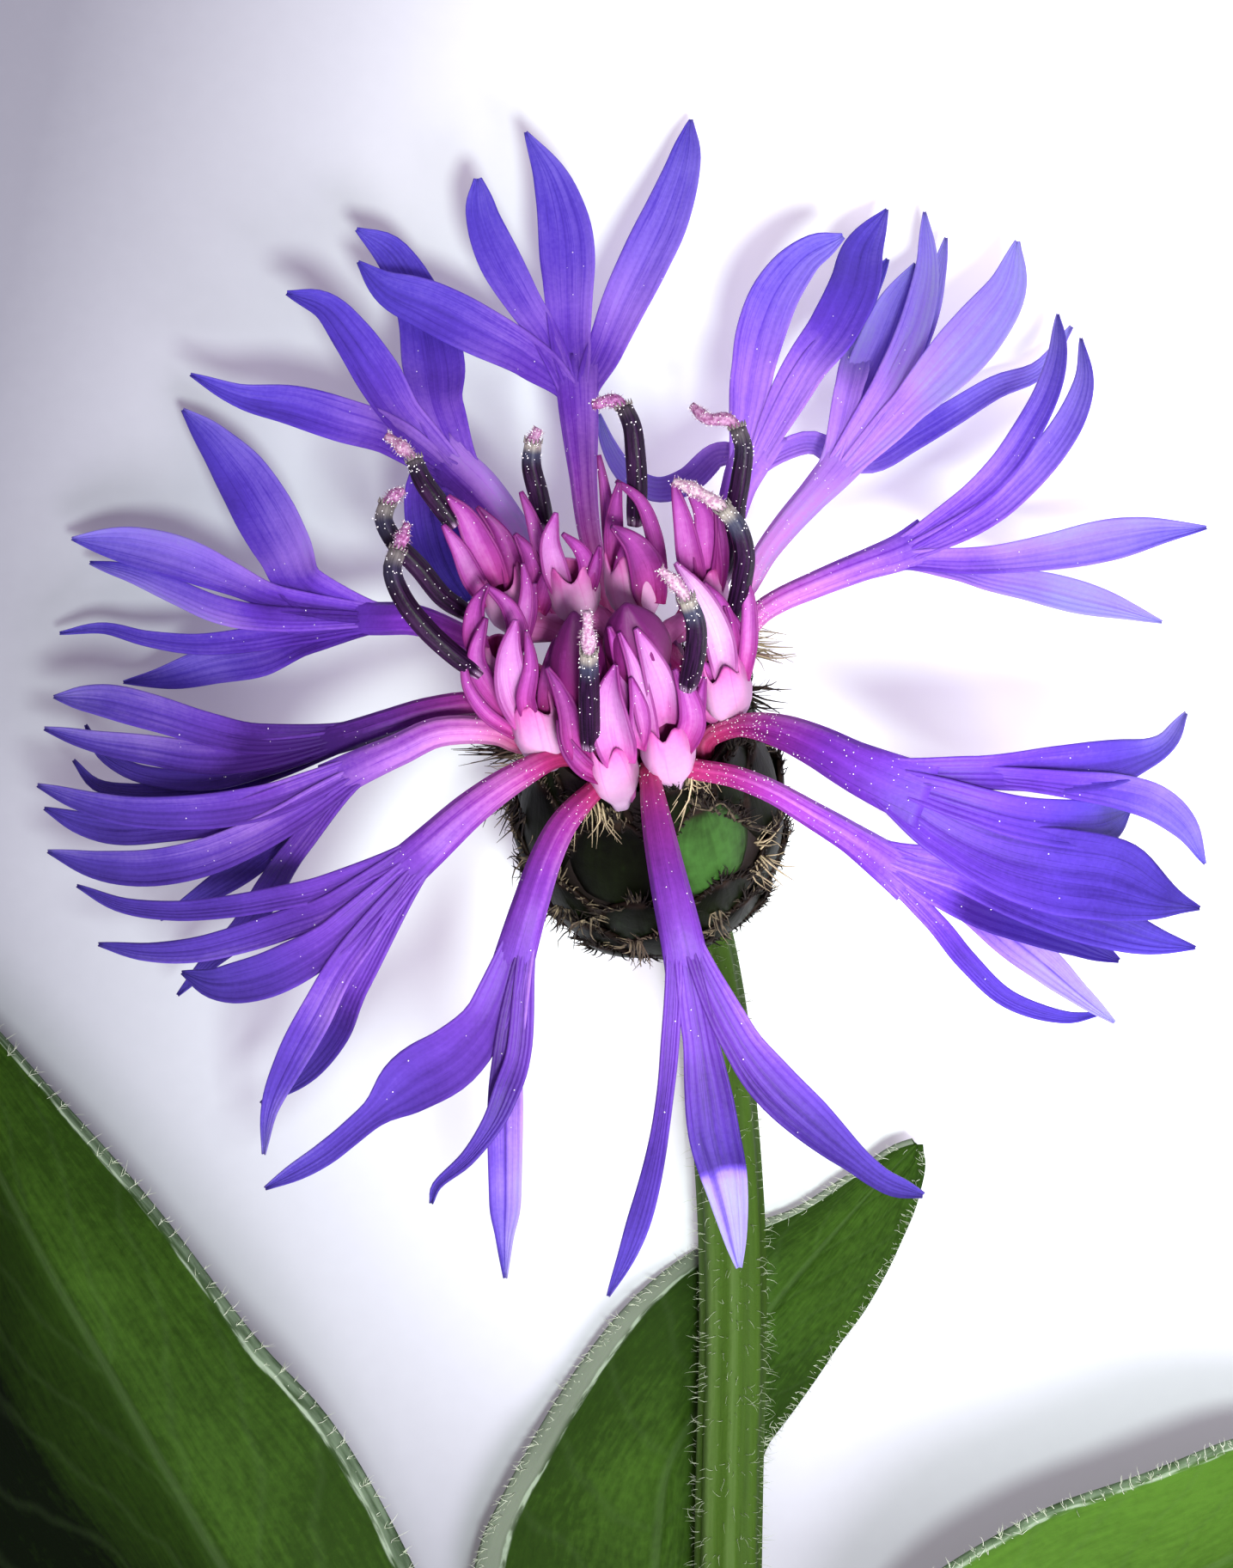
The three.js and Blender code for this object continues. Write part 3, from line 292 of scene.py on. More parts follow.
# In the order of their CAD nodes.
RAY_FLORETS = [
    Ray(98, (-0.1, 0.1), (0.85, 0.75, 0.55), 0.06, [1.2, 1.5, 2.2, 2.8],
        [(690, 640, 12.5), (683, 600, 11.9), (675, 500, 10.2), (671, 440, 9.1), (668, 412, 8.6)], [
        Lobe(45, (6.5, 7.5, 8.6), [(556, 208), (561, 250), (580, 300), (608, 350), (637, 395)],
             (0.75, 0.5, 0.5), [0.6, 0.72, 0.82, 0.94, 1, 0.94, 0.8, 0.62, 0.15], 0.05),
        Lobe(60, (5.3, 7, 8.6), [(612, 154), (640, 205), (656, 260), (661, 310), (662, 350), (664, 400)],
             (0.75, 0.52, 0.6), [0.7, 0.8, 0.9, 1, 0.98, 0.84, 0.64, 0.36, 0.02], 0.1),
        Lobe(54, (2.3, 5.6, 8.6), [(804, 139), (796, 190), (776, 250), (750, 305), (726, 355), (705, 405)],
             (0.95, 0.7, 0.6), [0.7, 0.84, 0.95, 1, 1, 0.9, 0.74, 0.52, 0.03], 0.05),
        Lobe(56, (7.2, 8, 8.6), [(417, 305), (450, 335), (500, 357), (560, 387), (615, 417)],
             (0.65, 0.45, 0.45), [0.75, 0.86, 0.95, 1, 0.98, 0.9, 0.74, 0.42, 0.02], 0.1),
    ]),
    Ray(126, (-0.5, 0.15), (1.2, 1.2, 0.8), 0, [1.5, 2.2, 2.6, 2.6],
        [(612, 645, 13), (588, 610, 12.7), (560, 575, 12.2), (530, 545, 11.6), (505, 520, 11)], [
        Lobe(48, (9.8, 10.5, 11), [(334, 341), (378, 356), (410, 392), (440, 437), (470, 485)],
             (0.6, 0.42, 0.38), [0.8, 0.92, 1, 0.96, 0.88, 0.76, 0.6, 0.4, 0.05], 0.1),
        Lobe(68, (5.8, 6.4, 10.5), [(415, 267), (452, 292), (480, 335), (497, 380), (506, 430), (512, 475)],
             (0.55, 0.5, 0.55), [0.75, 0.92, 1, 0.96, 0.84, 0.72, 0.62, 0.46, 0.03], -0.05),
        Lobe(46, (8.6, 9.7, 11), [(222, 436), (280, 461), (340, 472), (400, 490), (455, 508)],
             (0.75, 0.5, 0.5), [0.85, 0.95, 1, 0.98, 0.88, 0.7, 0.48, 0.28, 0.02], 0.1),
        Lobe(60, (6.5, 8, 10.4), [(545, 700), (520, 660), (505, 610), (502, 560)], (0.3, 0.35, 0.35), BLUNT),
    ], split=0.15),
    Ray(154, (0.05, -0.05), (0.9, 0.45, 0.3), 0.12, [1.4, 1.8, 2],
        [(545, 745, 15), (485, 722, 14), (440, 720, 12.5), (395, 720, 11)], [
        Lobe(66, (3, 6.5, 11), [(213, 477), (244, 508), (280, 552), (308, 597), (332, 640), (356, 685)],
             (0.9, 0.45, 0.5), [0.72, 0.84, 0.95, 1, 0.96, 0.86, 0.64, 0.4, 0.03], 0.25),
        Lobe(46, (3.1, 7.2, 11), [(84, 627), (150, 635), (210, 650), (270, 674), (325, 697)],
             (0.55, 0.75, 0.65), [0.5, 0.58, 0.74, 0.92, 1, 0.97, 0.84, 0.52, 0.02], 0.25),
        Lobe(26, (3.2, 7.6, 11), [(105, 655), (155, 668), (205, 689), (255, 710), (310, 720)],
             (0.7, 0.75, 0.55), STRAP, -0.25),
        Lobe(24, (2.8, 7.2, 10.5), [(70, 737), (120, 731), (170, 743), (230, 750), (290, 745), (350, 735)],
             (0.45, 0.4, 0.5), [1, 1, 0.92, 0.8, 0.66, 0.48, 0.35, 0.26, 0.03]),
        Lobe(42, (3.6, 6.6, 10.5), [(144, 794), (195, 788), (250, 774), (305, 764), (355, 745)],
             (0.5, 0.6, 0.35), [0.7, 0.86, 1, 1, 0.95, 0.84, 0.62, 0.32, 0.02], 0.15),
    ], pollen=8),
    Ray(178, (-0.05, 0.1), (0.95, 0.25, -0.1), 0.05, [1.4, 1.5, 1.8],
        [(600, 838, 15.8), (560, 820, 17), (500, 827, 17.7), (450, 842, 17.6), (400, 858, 17.2),
         (355, 868, 16.5)], [
        Lobe(36, (9, 13.3, 16.5), [(63, 811), (120, 815), (180, 830), (240, 848), (300, 860)],
             (0.3, 0.55, 0.6), [0.8, 0.86, 0.9, 0.95, 1, 1, 0.86, 0.58, 0.02], 0.1),
        Lobe(32, (8.4, 12, 16), [(52, 848), (110, 863), (170, 872), (230, 881), (290, 880)],
             (0.25, 0.6, 0.5), STRAP, 0.3),
        Lobe(20, (7.6, 10.6, 15.5), [(100, 844), (115, 873), (150, 896), (200, 907), (255, 905), (310, 890)],
             (0.15, 0.3, 0.35), [1, 1, 1, 0.92, 0.84, 0.74, 0.6, 0.38, 0.03]),
        Lobe(20, (7.4, 10.4, 15), [(86, 885), (110, 912), (150, 922), (210, 921), (265, 912), (320, 895)],
             (0.15, 0.15, 0.25), STRAP),
    ]),
    Ray(203, (0.1, 0), (0.45, 0.8, 0.45), 0, [1.5, 1.7, 2.2],
        [(610, 866, 17.2), (575, 852, 18.8), (510, 852, 19.8), (465, 872, 19.8), (420, 892, 19.2),
         (380, 912, 18.2)], [
        Lobe(34, (10, 14.6, 18), [(44, 914), (95, 932), (150, 944), (210, 946), (270, 941), (330, 927)],
             (0.4, 0.5, 0.55), STRAP, 0.1),
        Lobe(30, (9.4, 13, 17.5), [(52, 941), (95, 958), (140, 966), (190, 962), (250, 954), (310, 938)],
             (0.5, 0.35, 0.4), [0.9, 0.95, 1, 1, 1, 0.98, 0.9, 0.6, 0.03]),
        Lobe(37, (10.5, 15, 18), [(56, 991), (115, 1007), (175, 1010), (235, 999), (290, 977), (340, 950)],
             (0.8, 0.45, 0.5), [0.8, 0.88, 0.95, 1, 1, 0.95, 0.8, 0.5, 0.03], 0.2),
        Lobe(28, (10, 13, 17.5), [(187, 1070), (235, 1042), (280, 1013), (320, 982), (360, 953)],
             (0.4, 0.25, 0.35), LANCE),
        Lobe(28, (7, 10.5, 17), [(207, 1158), (245, 1118), (285, 1080), (315, 1033), (345, 988)],
             (0.35, 0.45, 0.35), LANCE),
    ]),
    Ray(226, (0, 0.05), (0.2, 0.65, 0.4), -0.04, [1.6, 2, 2.5],
        [(655, 880, 18.5), (600, 905, 21), (550, 940, 22), (500, 985, 22.5), (450, 1030, 22)], [
        Lobe(20, (14, 18, 21.5), [(90, 1031), (140, 1053), (200, 1060), (260, 1056), (320, 1046),
             (380, 1032)], (0.4, 0.3, 0.45), [1, 1, 0.97, 0.92, 0.84, 0.74, 0.62, 0.45, 0.03]),
        Lobe(27, (13, 17.5, 21.5), [(115, 1099), (170, 1108), (225, 1106), (280, 1093), (335, 1075),
             (385, 1057)], (0.5, 0.5, 0.55), STRAP, -0.1),
        Lobe(44, (15, 18.5, 21.5), [(212, 1132), (250, 1145), (300, 1138), (345, 1119), (388, 1092)],
             (0.6, 0.42, 0.35), [0.75, 0.88, 0.97, 1, 0.98, 0.9, 0.7, 0.42, 0.03], 0.05),
        Lobe(32, (13, 18, 21.5), [(307, 1343), (314, 1290), (338, 1235), (368, 1180), (400, 1122)],
             (0.8, 0.45, 0.85), [0.8, 0.9, 1, 0.98, 0.85, 0.66, 0.42, 0.24, 0.04], -0.1),
        Lobe(28, (11, 15, 21), [(304, 1284), (350, 1252), (388, 1205), (415, 1148)], (0.2, 0.35, 0.45),
             LANCE),
    ]),
    Ray(248, (0.1, -0.05), (0.3, 0.5, 0.35), -0.05, [1.5, 1.8, 2.3],
        [(693, 918, 19.3), (655, 960, 22.5), (635, 1000, 24), (618, 1050, 25), (603, 1100, 25),
         (592, 1140, 24.5)], [
        Lobe(66, (16, 21, 24.5), [(309, 1383), (375, 1345), (430, 1300), (480, 1258), (530, 1227),
             (568, 1182)], (0.5, 0.45, 0.5), [0.62, 0.86, 0.96, 0.82, 0.4, 0.32, 0.31, 0.24, 0.02], 0.05),
        Lobe(32, (18, 22.5, 24.5), [(588, 1487), (587, 1440), (588, 1395), (588, 1345), (588, 1290),
             (591, 1230)], (0.45, 0.95, 0.8), [0.8, 0.95, 1, 0.96, 0.92, 0.84, 0.5, 0.26, 0.04], -0.3,
             crease=0.55),
        Lobe(22, (22.5, 25.3, 25), [(502, 1400), (509, 1379), (544, 1348), (575, 1304), (588, 1274),
             (603, 1230)], (0.3, 0.3, 0.5), [0.9, 1, 0.9, 0.7, 0.5, 0.36, 0.24, 0.18, 0.05]),
    ]),
    Ray(270, (0.05, 0), (0.5, 0.3, 0.4), -0.18, [1.6, 2, 2.4],
        [(755, 900, 19.5), (763, 948, 23), (774, 1005, 25), (785, 1055, 26), (795, 1100, 26.5),
         (803, 1145, 26)], [
        Lobe(20, (18, 23, 26), [(708, 1508), (732, 1455), (750, 1400), (763, 1345), (772, 1290),
             (779, 1225)], (0.4, 0.42, 0.7), [0.62, 0.56, 0.6, 0.74, 0.9, 1, 0.84, 0.5, 0.03], -0.1),
        Lobe(50, (20, 24, 26), [(860, 1475), (853, 1425), (844, 1375), (831, 1320), (823, 1265),
             (815, 1210)], (0.4, 0.3, 0.3), [0.6, 0.78, 0.92, 0.96, 0.9, 0.74, 0.56, 0.36, 0.08], 0.05,
             pale_tip=0.52),
        Lobe(50, (19, 23.5, 26), [(1074, 1391), (1030, 1375), (988, 1343), (945, 1305), (900, 1262),
             (862, 1212)], (0.6, 0.35, 0.45), [0.68, 0.86, 0.9, 0.84, 0.68, 0.48, 0.4, 0.36, 0.08], -0.15),
    ]),
    Ray(295, (0.1, 0), (0.35, 0.45, 0.6), -0.15, [1.2, 1.6, 2.6],
        [(805, 894, 19.2), (855, 904, 21), (900, 922, 22), (945, 948, 22), (990, 975, 21.5),
         (1030, 1003, 20.5), (1060, 1025, 19.8)], [
        Lobe(17, (13, 15.5, 19), [(1280, 1180), (1240, 1184), (1174, 1163), (1125, 1118), (1088, 1073)],
             (0.5, 0.5, 0.6), STRAP),
        Lobe(40, (13.2, 14.4, 17.4), [(1297, 1190), (1255, 1156), (1215, 1122), (1175, 1090), (1130, 1055)],
             (0.7, 1.25, 1.3), [0.8, 0.92, 1, 1, 0.9, 0.76, 0.55, 0.34, 0.02], crease=0.5),
        Lobe(48, (15, 17, 19.5), [(1302, 1118), (1255, 1095), (1200, 1072), (1150, 1055), (1100, 1035)],
             (0.1, 0.12, 0.05), [0.8, 0.92, 1, 1, 0.95, 0.84, 0.66, 0.46, 0.05], 0.05),
        Lobe(50, (15.5, 17.6, 20.2), [(1391, 1103), (1345, 1095), (1290, 1078), (1230, 1058), (1170, 1036),
             (1110, 1012)], (0.3, 0.25, 0.5), [0.7, 0.82, 0.94, 1, 1, 0.92, 0.74, 0.42, 0.02], 0.1),
    ], pollen=90),
    Ray(322, (0.15, -0.05), (0.5, 0.4, 0.3), 0, [1.8, 2.4, 3.4],
        [(860, 845, 19.5), (905, 850, 22.5), (950, 868, 24.8), (995, 892, 26.4), (1040, 912, 27.3),
         (1080, 928, 27.6)], [
        Lobe(46, (16, 23.5, 27.6), [(1380, 830), (1355, 866), (1315, 883), (1260, 893), (1200, 897),
             (1140, 899)], (0.45, 0.35, 0.9), [0.6, 0.76, 0.94, 1, 0.9, 0.62, 0.42, 0.3, 0.04], -0.15),
        Lobe(34, (14.5, 22, 27), [(1402, 1005), (1380, 963), (1345, 935), (1300, 921), (1250, 914),
             (1190, 907)], (0.35, 0.7, 0.75), [0.5, 0.62, 0.78, 0.92, 1, 0.96, 0.76, 0.42, 0.02], -0.05),
        Lobe(46, (19.5, 25.6, 27.8), [(1314, 944), (1280, 958), (1232, 958), (1180, 950), (1130, 936)],
             (0.45, 0.35, 0.3), [0.7, 0.78, 0.86, 0.95, 1, 1, 0.86, 0.54, 0.05], -0.05),
        Lobe(84, (19.5, 24.4, 27.2), [(1396, 1057), (1352, 1046), (1295, 1024), (1230, 1014), (1165, 998),
             (1105, 970)], (0.3, 0.22, 0.15), [0.6, 0.76, 0.9, 1, 1, 0.92, 0.6, 0.26, 0.02], 0.05),
    ], pollen=120),
    Ray(12, (-0.1, 0.05), (0.8, 0.8, 0.65), 0.08, [1.3, 1.6, 2.4],
        [(845, 775, 15.6), (880, 718, 17.2), (905, 700, 18), (950, 680, 18), (1000, 660, 17.4),
         (1050, 642, 16.2), (1080, 626, 15.4)], [
        Lobe(28, (6.2, 12.2, 15), [(1231, 366), (1231, 410), (1219, 455), (1196, 500), (1165, 545),
             (1125, 583)], (0.7, 0.55, 0.6), [0.8, 0.95, 1, 0.98, 0.9, 0.8, 0.62, 0.42, 0.02], -0.1),
        Lobe(32, (6, 11.4, 14.8), [(1258, 394), (1262, 440), (1248, 483), (1221, 525), (1185, 565),
             (1145, 600)], (0.8, 0.75, 0.7), [0.8, 0.95, 1, 0.98, 0.92, 0.8, 0.6, 0.34, 0.02], -0.1),
        Lobe(43, (7, 10.8, 15), [(1404, 614), (1345, 619), (1290, 629), (1230, 641), (1170, 650),
             (1125, 653)], (0.8, 0.95, 0.75), LATE, -0.15),
        Lobe(34, (6, 9.8, 14.6), [(1352, 724), (1300, 707), (1250, 694), (1200, 682), (1150, 673),
             (1110, 662)], (0.7, 1.1, 1.05), LATE, 0.1),
    ], pollen=90),
    Ray(38, (-0.05, 0.05), (0.8, 1.1, 1.0), 0.22, [1.3, 1.7, 2.6],
        [(848, 712, 14), (870, 680, 14.9), (890, 645, 15), (915, 612, 14.4), (945, 578, 13.4),
         (975, 545, 12.1), (995, 520, 11.2)], [
        Lobe(60, (6.8, 8.9, 11), [(1184, 281), (1172, 335), (1138, 385), (1098, 430), (1055, 475)],
             (1.0, 0.95, 0.95), [0.6, 0.78, 0.92, 1, 0.98, 0.88, 0.7, 0.44, 0.06], 0.1),
        Lobe(34, (3.5, 7, 11), [(1076, 247), (1079, 310), (1070, 360), (1052, 412), (1026, 462)],
             (0.85, 0.9, 0.8), [0.9, 1, 1, 0.98, 0.92, 0.82, 0.62, 0.4, 0.02], 0.1),
        Lobe(24, (3.8, 6.8, 10.8), [(1101, 277), (1092, 318), (1080, 366), (1060, 415), (1032, 466)],
             (0.8, 0.85, 0.85), STRAP),
        Lobe(44, (4.4, 7.2, 10.5), [(1065, 307), (1042, 350), (1022, 400), (1003, 445), (990, 485)],
             (0.8, 0.75, 0.8), [0.8, 0.9, 0.95, 1, 0.98, 0.9, 0.7, 0.4, 0.02], -0.15),
        Lobe(30, (3.6, 6, 10.5), [(1010, 352), (1000, 400), (988, 450)], (0.7, 0.9, 0.9), STRAP),
    ], pollen=50),
    Ray(62, (-0.15, 0.1), (0.5, 0.6, 0.9), 0.1, [1.4, 1.9, 3],
        [(815, 690, 13), (840, 630, 13.1), (850, 600, 12.9), (862, 560, 12.3), (880, 520, 11.5),
         (888, 500, 11.1)], [
        Lobe(52, (8.9, 10, 11), [(981, 275), (938, 298), (905, 338), (886, 385), (876, 430)],
             (0.65, 0.68, 0.65), [0.85, 0.95, 1, 1, 0.95, 0.86, 0.7, 0.52, 0.08], 0.1),
        Lobe(54, (4.2, 8, 11), [(1032, 244), (1005, 290), (993, 335), (968, 385), (935, 430)],
             (0.6, 0.25, 0.5), [0.8, 0.9, 0.98, 1, 0.98, 0.92, 0.74, 0.44, 0.02], 0.1),
        Lobe(30, (4.6, 7.6, 11), [(1033, 302), (1016, 330), (1000, 358), (972, 395), (938, 436)],
             (0.5, 0.25, 0.4), STRAP, 0.05),
        Lobe(26, (6.4, 7.4, 10.4), [(697, 482), (707, 515), (730, 552), (765, 570), (800, 560), (835, 530)],
             (0.7, 1.0, 1.1), STRAP),
        Lobe(28, (2.4, 4.2, 10), [(1247, 380), (1210, 430), (1160, 450), (1110, 480), (1060, 510),
             (1015, 535), (975, 530), (940, 515)], (0.9, 0.5, 1.1), BLUNT),
    ], pollen=30),
]

# Where the ray florets' tubes stand in the cup, and where they cross the sill of the head's mouth.
ROOT_RADIUS = 4.1
ROOT_DEPTH = 1.3
SILL_RADIUS = 4.5
SILL_HEIGHT = 0.5

# A disc floret: its swollen throat's place and radius, and lobes with their tone, their width in plan units,
# their heights at tip and root, and their plan line from tip to root.
DiscFloret = namedtuple("DiscFloret", "bell radius lobes")
DiscLobe = namedtuple("DiscLobe", "tone width heights line")

DISC_FLORETS = [
    DiscFloret((714, 900, 20), 1.35, [
        DiscLobe(0.2, 22, (22.5, 20.8), [(650, 838), (660, 868), (680, 893), (700, 905)]),
        DiscLobe(0.25, 26, (24.5, 21), [(637, 778), (650, 800), (662, 830), (668, 865), (680, 890)]),
        DiscLobe(0.8, 50, (25.3, 21.2), [(716, 775), (711, 810), (714, 850), (722, 885)]),
        DiscLobe(0.65, 26, (25, 21.3), [(735, 790), (743, 830), (742, 870)]),
        DiscLobe(0.05, 30, (24, 20.5), [(690, 740), (690, 800), (700, 860)]),
    ]),
    DiscFloret((778, 876, 20.3), 1.45, [
        DiscLobe(0.6, 24, (25.6, 21), [(709, 731), (722, 765), (738, 810), (752, 855)]),
        DiscLobe(0.85, 24, (25.9, 21.4), [(722, 737), (738, 780), (750, 830), (758, 865)]),
        DiscLobe(0.9, 38, (26.2, 21.6), [(741, 733), (755, 765), (768, 800), (775, 840)]),
        DiscLobe(0.5, 32, (25, 21), [(786, 780), (800, 810), (805, 840), (795, 870)]),
        DiscLobe(0.5, 16, (24, 20.8), [(820, 790), (812, 830), (800, 870)]),
    ]),
    DiscFloret((628, 850, 19), 1.5, [
        DiscLobe(0.85, 44, (24.6, 20), [(600, 723), (592, 760), (596, 800), (612, 840)]),
        DiscLobe(0.4, 15, (22, 19.4), [(538, 765), (545, 800), (565, 830), (600, 855)]),
        DiscLobe(0.4, 20, (24.2, 20.2), [(613, 735), (618, 775), (612, 815), (618, 840)]),
        DiscLobe(0.5, 26, (22.8, 19.6), [(565, 720), (555, 760), (560, 785), (590, 830)]),
        DiscLobe(0.25, 22, (22.6, 19.8), [(645, 745), (640, 785), (636, 830)]),
    ]),
    DiscFloret((845, 805, 19), 1.4, [
        DiscLobe(1.15, 36, (24.6, 20), [(787, 656), (815, 695), (835, 740), (845, 790)]),
        DiscLobe(0.4, 15, (23.6, 20), [(820, 680), (838, 700), (850, 730), (856, 770)]),
        DiscLobe(0.55, 19, (23.2, 19.6), [(856, 662), (870, 690), (872, 740), (865, 790)]),
        DiscLobe(0.3, 18, (22.4, 19.4), [(845, 705), (856, 735), (857, 770)]),
        DiscLobe(0.45, 26, (21.6, 19.4), [(800, 765), (815, 780), (830, 805)]),
    ]),
    DiscFloret((818, 695, 18.5), 1.4, [
        DiscLobe(0.5, 30, (23.6, 19.4), [(784, 562), (796, 610), (803, 650), (812, 690)]),
        DiscLobe(0.4, 34, (23.2, 19.2), [(800, 568), (820, 600), (824, 650), (825, 690)]),
        DiscLobe(0.1, 18, (22.6, 19), [(834, 588), (839, 630), (837, 665), (830, 700)]),
    ]),
    DiscFloret((738, 685, 19.5), 1.5, [
        DiscLobe(0.3, 46, (24, 20.2), [(713, 613), (735, 635), (750, 662), (758, 700)]),
        DiscLobe(0.3, 22, (22.6, 19.8), [(721, 562), (716, 590), (714, 620), (716, 665)]),
        DiscLobe(0.35, 18, (22.4, 19.4), [(718, 560), (745, 583), (760, 620), (770, 680)]),
        DiscLobe(0.4, 16, (20.6, 18.6), [(697, 530), (704, 570), (710, 620), (716, 680)]),
        DiscLobe(0.2, 20, (23, 20), [(733, 622), (727, 650), (722, 685)]),
    ]),
    DiscFloret((668, 690, 20), 1.4, [
        DiscLobe(0.8, 30, (24, 20.4), [(647, 598), (640, 630), (645, 660), (655, 690)]),
        DiscLobe(0.45, 20, (24, 20.6), [(656, 622), (675, 640), (684, 660), (680, 690)]),
        DiscLobe(0.45, 17, (21.6, 19.8), [(606, 573), (618, 600), (630, 640), (642, 670)]),
        DiscLobe(0.45, 14, (23.6, 20.4), [(697, 637), (693, 662), (685, 690)]),
    ]),
    DiscFloret((592, 700, 18.5), 1.4, [
        DiscLobe(0.6, 26, (22, 19.2), [(516, 612), (535, 640), (552, 675), (570, 700)]),
        DiscLobe(0.5, 38, (21.8, 19.6), [(521, 578), (542, 600), (562, 640), (580, 680)]),
        DiscLobe(0.15, 26, (21.2, 19), [(556, 590), (580, 620), (595, 655), (600, 695)]),
        DiscLobe(0.3, 24, (21.4, 19.2), [(600, 622), (617, 650), (625, 690)]),
        DiscLobe(0.2, 22, (21.8, 19.4), [(640, 655), (636, 680), (628, 712)]),
    ]),
    DiscFloret((580, 775, 19), 1.3, [
        DiscLobe(0.35, 27, (23.6, 20), [(567, 681), (556, 705), (553, 740), (562, 765)]),
        DiscLobe(0.5, 24, (23.4, 20), [(566, 682), (590, 705), (602, 735), (596, 765)]),
        DiscLobe(0.6, 19, (23, 20), [(609, 657), (613, 690), (607, 730), (598, 765)]),
        DiscLobe(0.45, 15, (22.4, 19.8), [(622, 680), (617, 715), (606, 750)]),
    ]),
]

# Foot, tip and width of the two closed buds that stand highest, and the profile of what is under them.
CLOSED_BUDS = [((680, 850, 20), (668, 713, 25.5), 2.9), ((755, 800, 20.5), (728, 704, 26), 3.4)]
CORE_PROFILE = [(0, -1.9), (2.9, -1.9), (3.1, 0.5), (3.2, 2.4), (2.6, 4.6), (1.4, 6), (0, 6.4)]

# Anther columns: how pale the cap at the mouth and the style are, the line from the floret's throat to the
# mouth, and the line of the style that stands out of it.
Column = namedtuple("Column", "cap cream line style")

ANTHER_COLUMNS = [
    Column(0.6, 0.2, [(545, 715, 18.4), (515, 695, 19.6), (488, 662, 20.6), (460, 632, 21.2),
           (446, 605, 21.4), (450, 588, 21.4)], [(460, 576, 21.2), (470, 571, 21)]),
    Column(0.5, 0.15, [(556, 783, 20.6), (530, 764, 21.8), (496, 733, 22.6), (469, 698, 23),
           (456, 664, 23.2), (462, 642, 23)], [(468, 626, 23), (474, 610, 22.8)]),
    Column(0.2, 0.45, [(530, 612, 20.8), (511, 587, 21.2), (492, 560, 21.4), (482, 536, 21.4)],
           [(466, 519, 21.2), (450, 507, 21)]),
    Column(0.9, 0.35, [(634, 612, 19.6), (626, 576, 20.6), (618, 541, 21.4), (620, 515, 21.8)],
           [(623, 506, 21.8), (627, 499, 21.8)]),
    Column(0.1, 0.08, [(739, 610, 20), (741, 568, 21), (739, 530, 21.8), (735, 496, 22.2), (726, 474, 22.2)],
           [(712, 466, 22), (690, 472, 21.6)]),
    Column(0.2, 0.3, [(838, 678, 17.8), (849, 650, 17.8), (854, 615, 18.3), (856, 588, 19), (861, 560, 19.8),
           (865, 522, 20.4), (858, 498, 20.6)], [(846, 488, 20.6), (825, 488, 20.4), (805, 472, 20)]),
    Column(1.0, 0.75, [(852, 722, 20.4), (857, 704, 21.2), (863, 675, 22.4), (866, 645, 23.4),
           (858, 614, 24.2), (842, 592, 24.6)], [(828, 582, 24.6), (806, 569, 24.4), (784, 560, 24.2)]),
    Column(1.0, 0.6, [(800, 800, 24.3), (809, 756, 26.2), (809, 725, 27.2), (799, 697, 27.8)],
           [(789, 682, 28), (768, 662, 28.2)]),
    Column(1.0, 0.55, [(686, 868, 22.2), (685, 802, 25.6), (685, 758, 27.6)], [(684, 735, 28.4),
           (683, 712, 29)]),
]

# The involucre's outside from its foot to its rim, as radius and height over the mouth.
URN_PROFILE = [(0, -17.6), (2.5, -17.3), (5, -15.9), (6.9, -13), (7.5, -9.5), (7.25, -6), (6.4, -3),
               (5.7, -0.6)]

# Rows of bracts: the share of that outside where a row starts, the length and width of its bracts, the
# angle of the first, and the tone of each, which is painted light and shade: high for a bract that stands in
# the light, low for those in shade.
BRACT_ROWS = [
    (0.1, 4.8, 4.6, 20, [0.4, 0.6, 0.5, 0.7, 0.45, 0.55, 0.35]),
    (0.24, 5, 4.9, 0, [0.5, 0.35, 0.6, 0.5, 0.3, 0.45, 0.6, 0.4, 0.5]),
    (0.36, 4.6, 5, 18, [0.5, 0.3, 0.6, 0.4, 0.5, 0.3, 0.25, 0.35, 0.3, 0.5]),
    (0.5, 4.4, 4.9, 8, [0.5, 0.6, 0.4, 0.5, 0.3, 0.25, 0.3, 0.4, 0.35, 0.3]),
    (0.67, 6.5, 5.4, 25, [0.7, 0.5, 0.6, 0.3, 0.25, 0.3, 1.0, 0.3]),
    (0.86, 4.2, 3.8, 2, [0.6, 0.3, 0.4, 0.2, 0.1, 0.45, 0.2, 0.35, 0.3]),
]

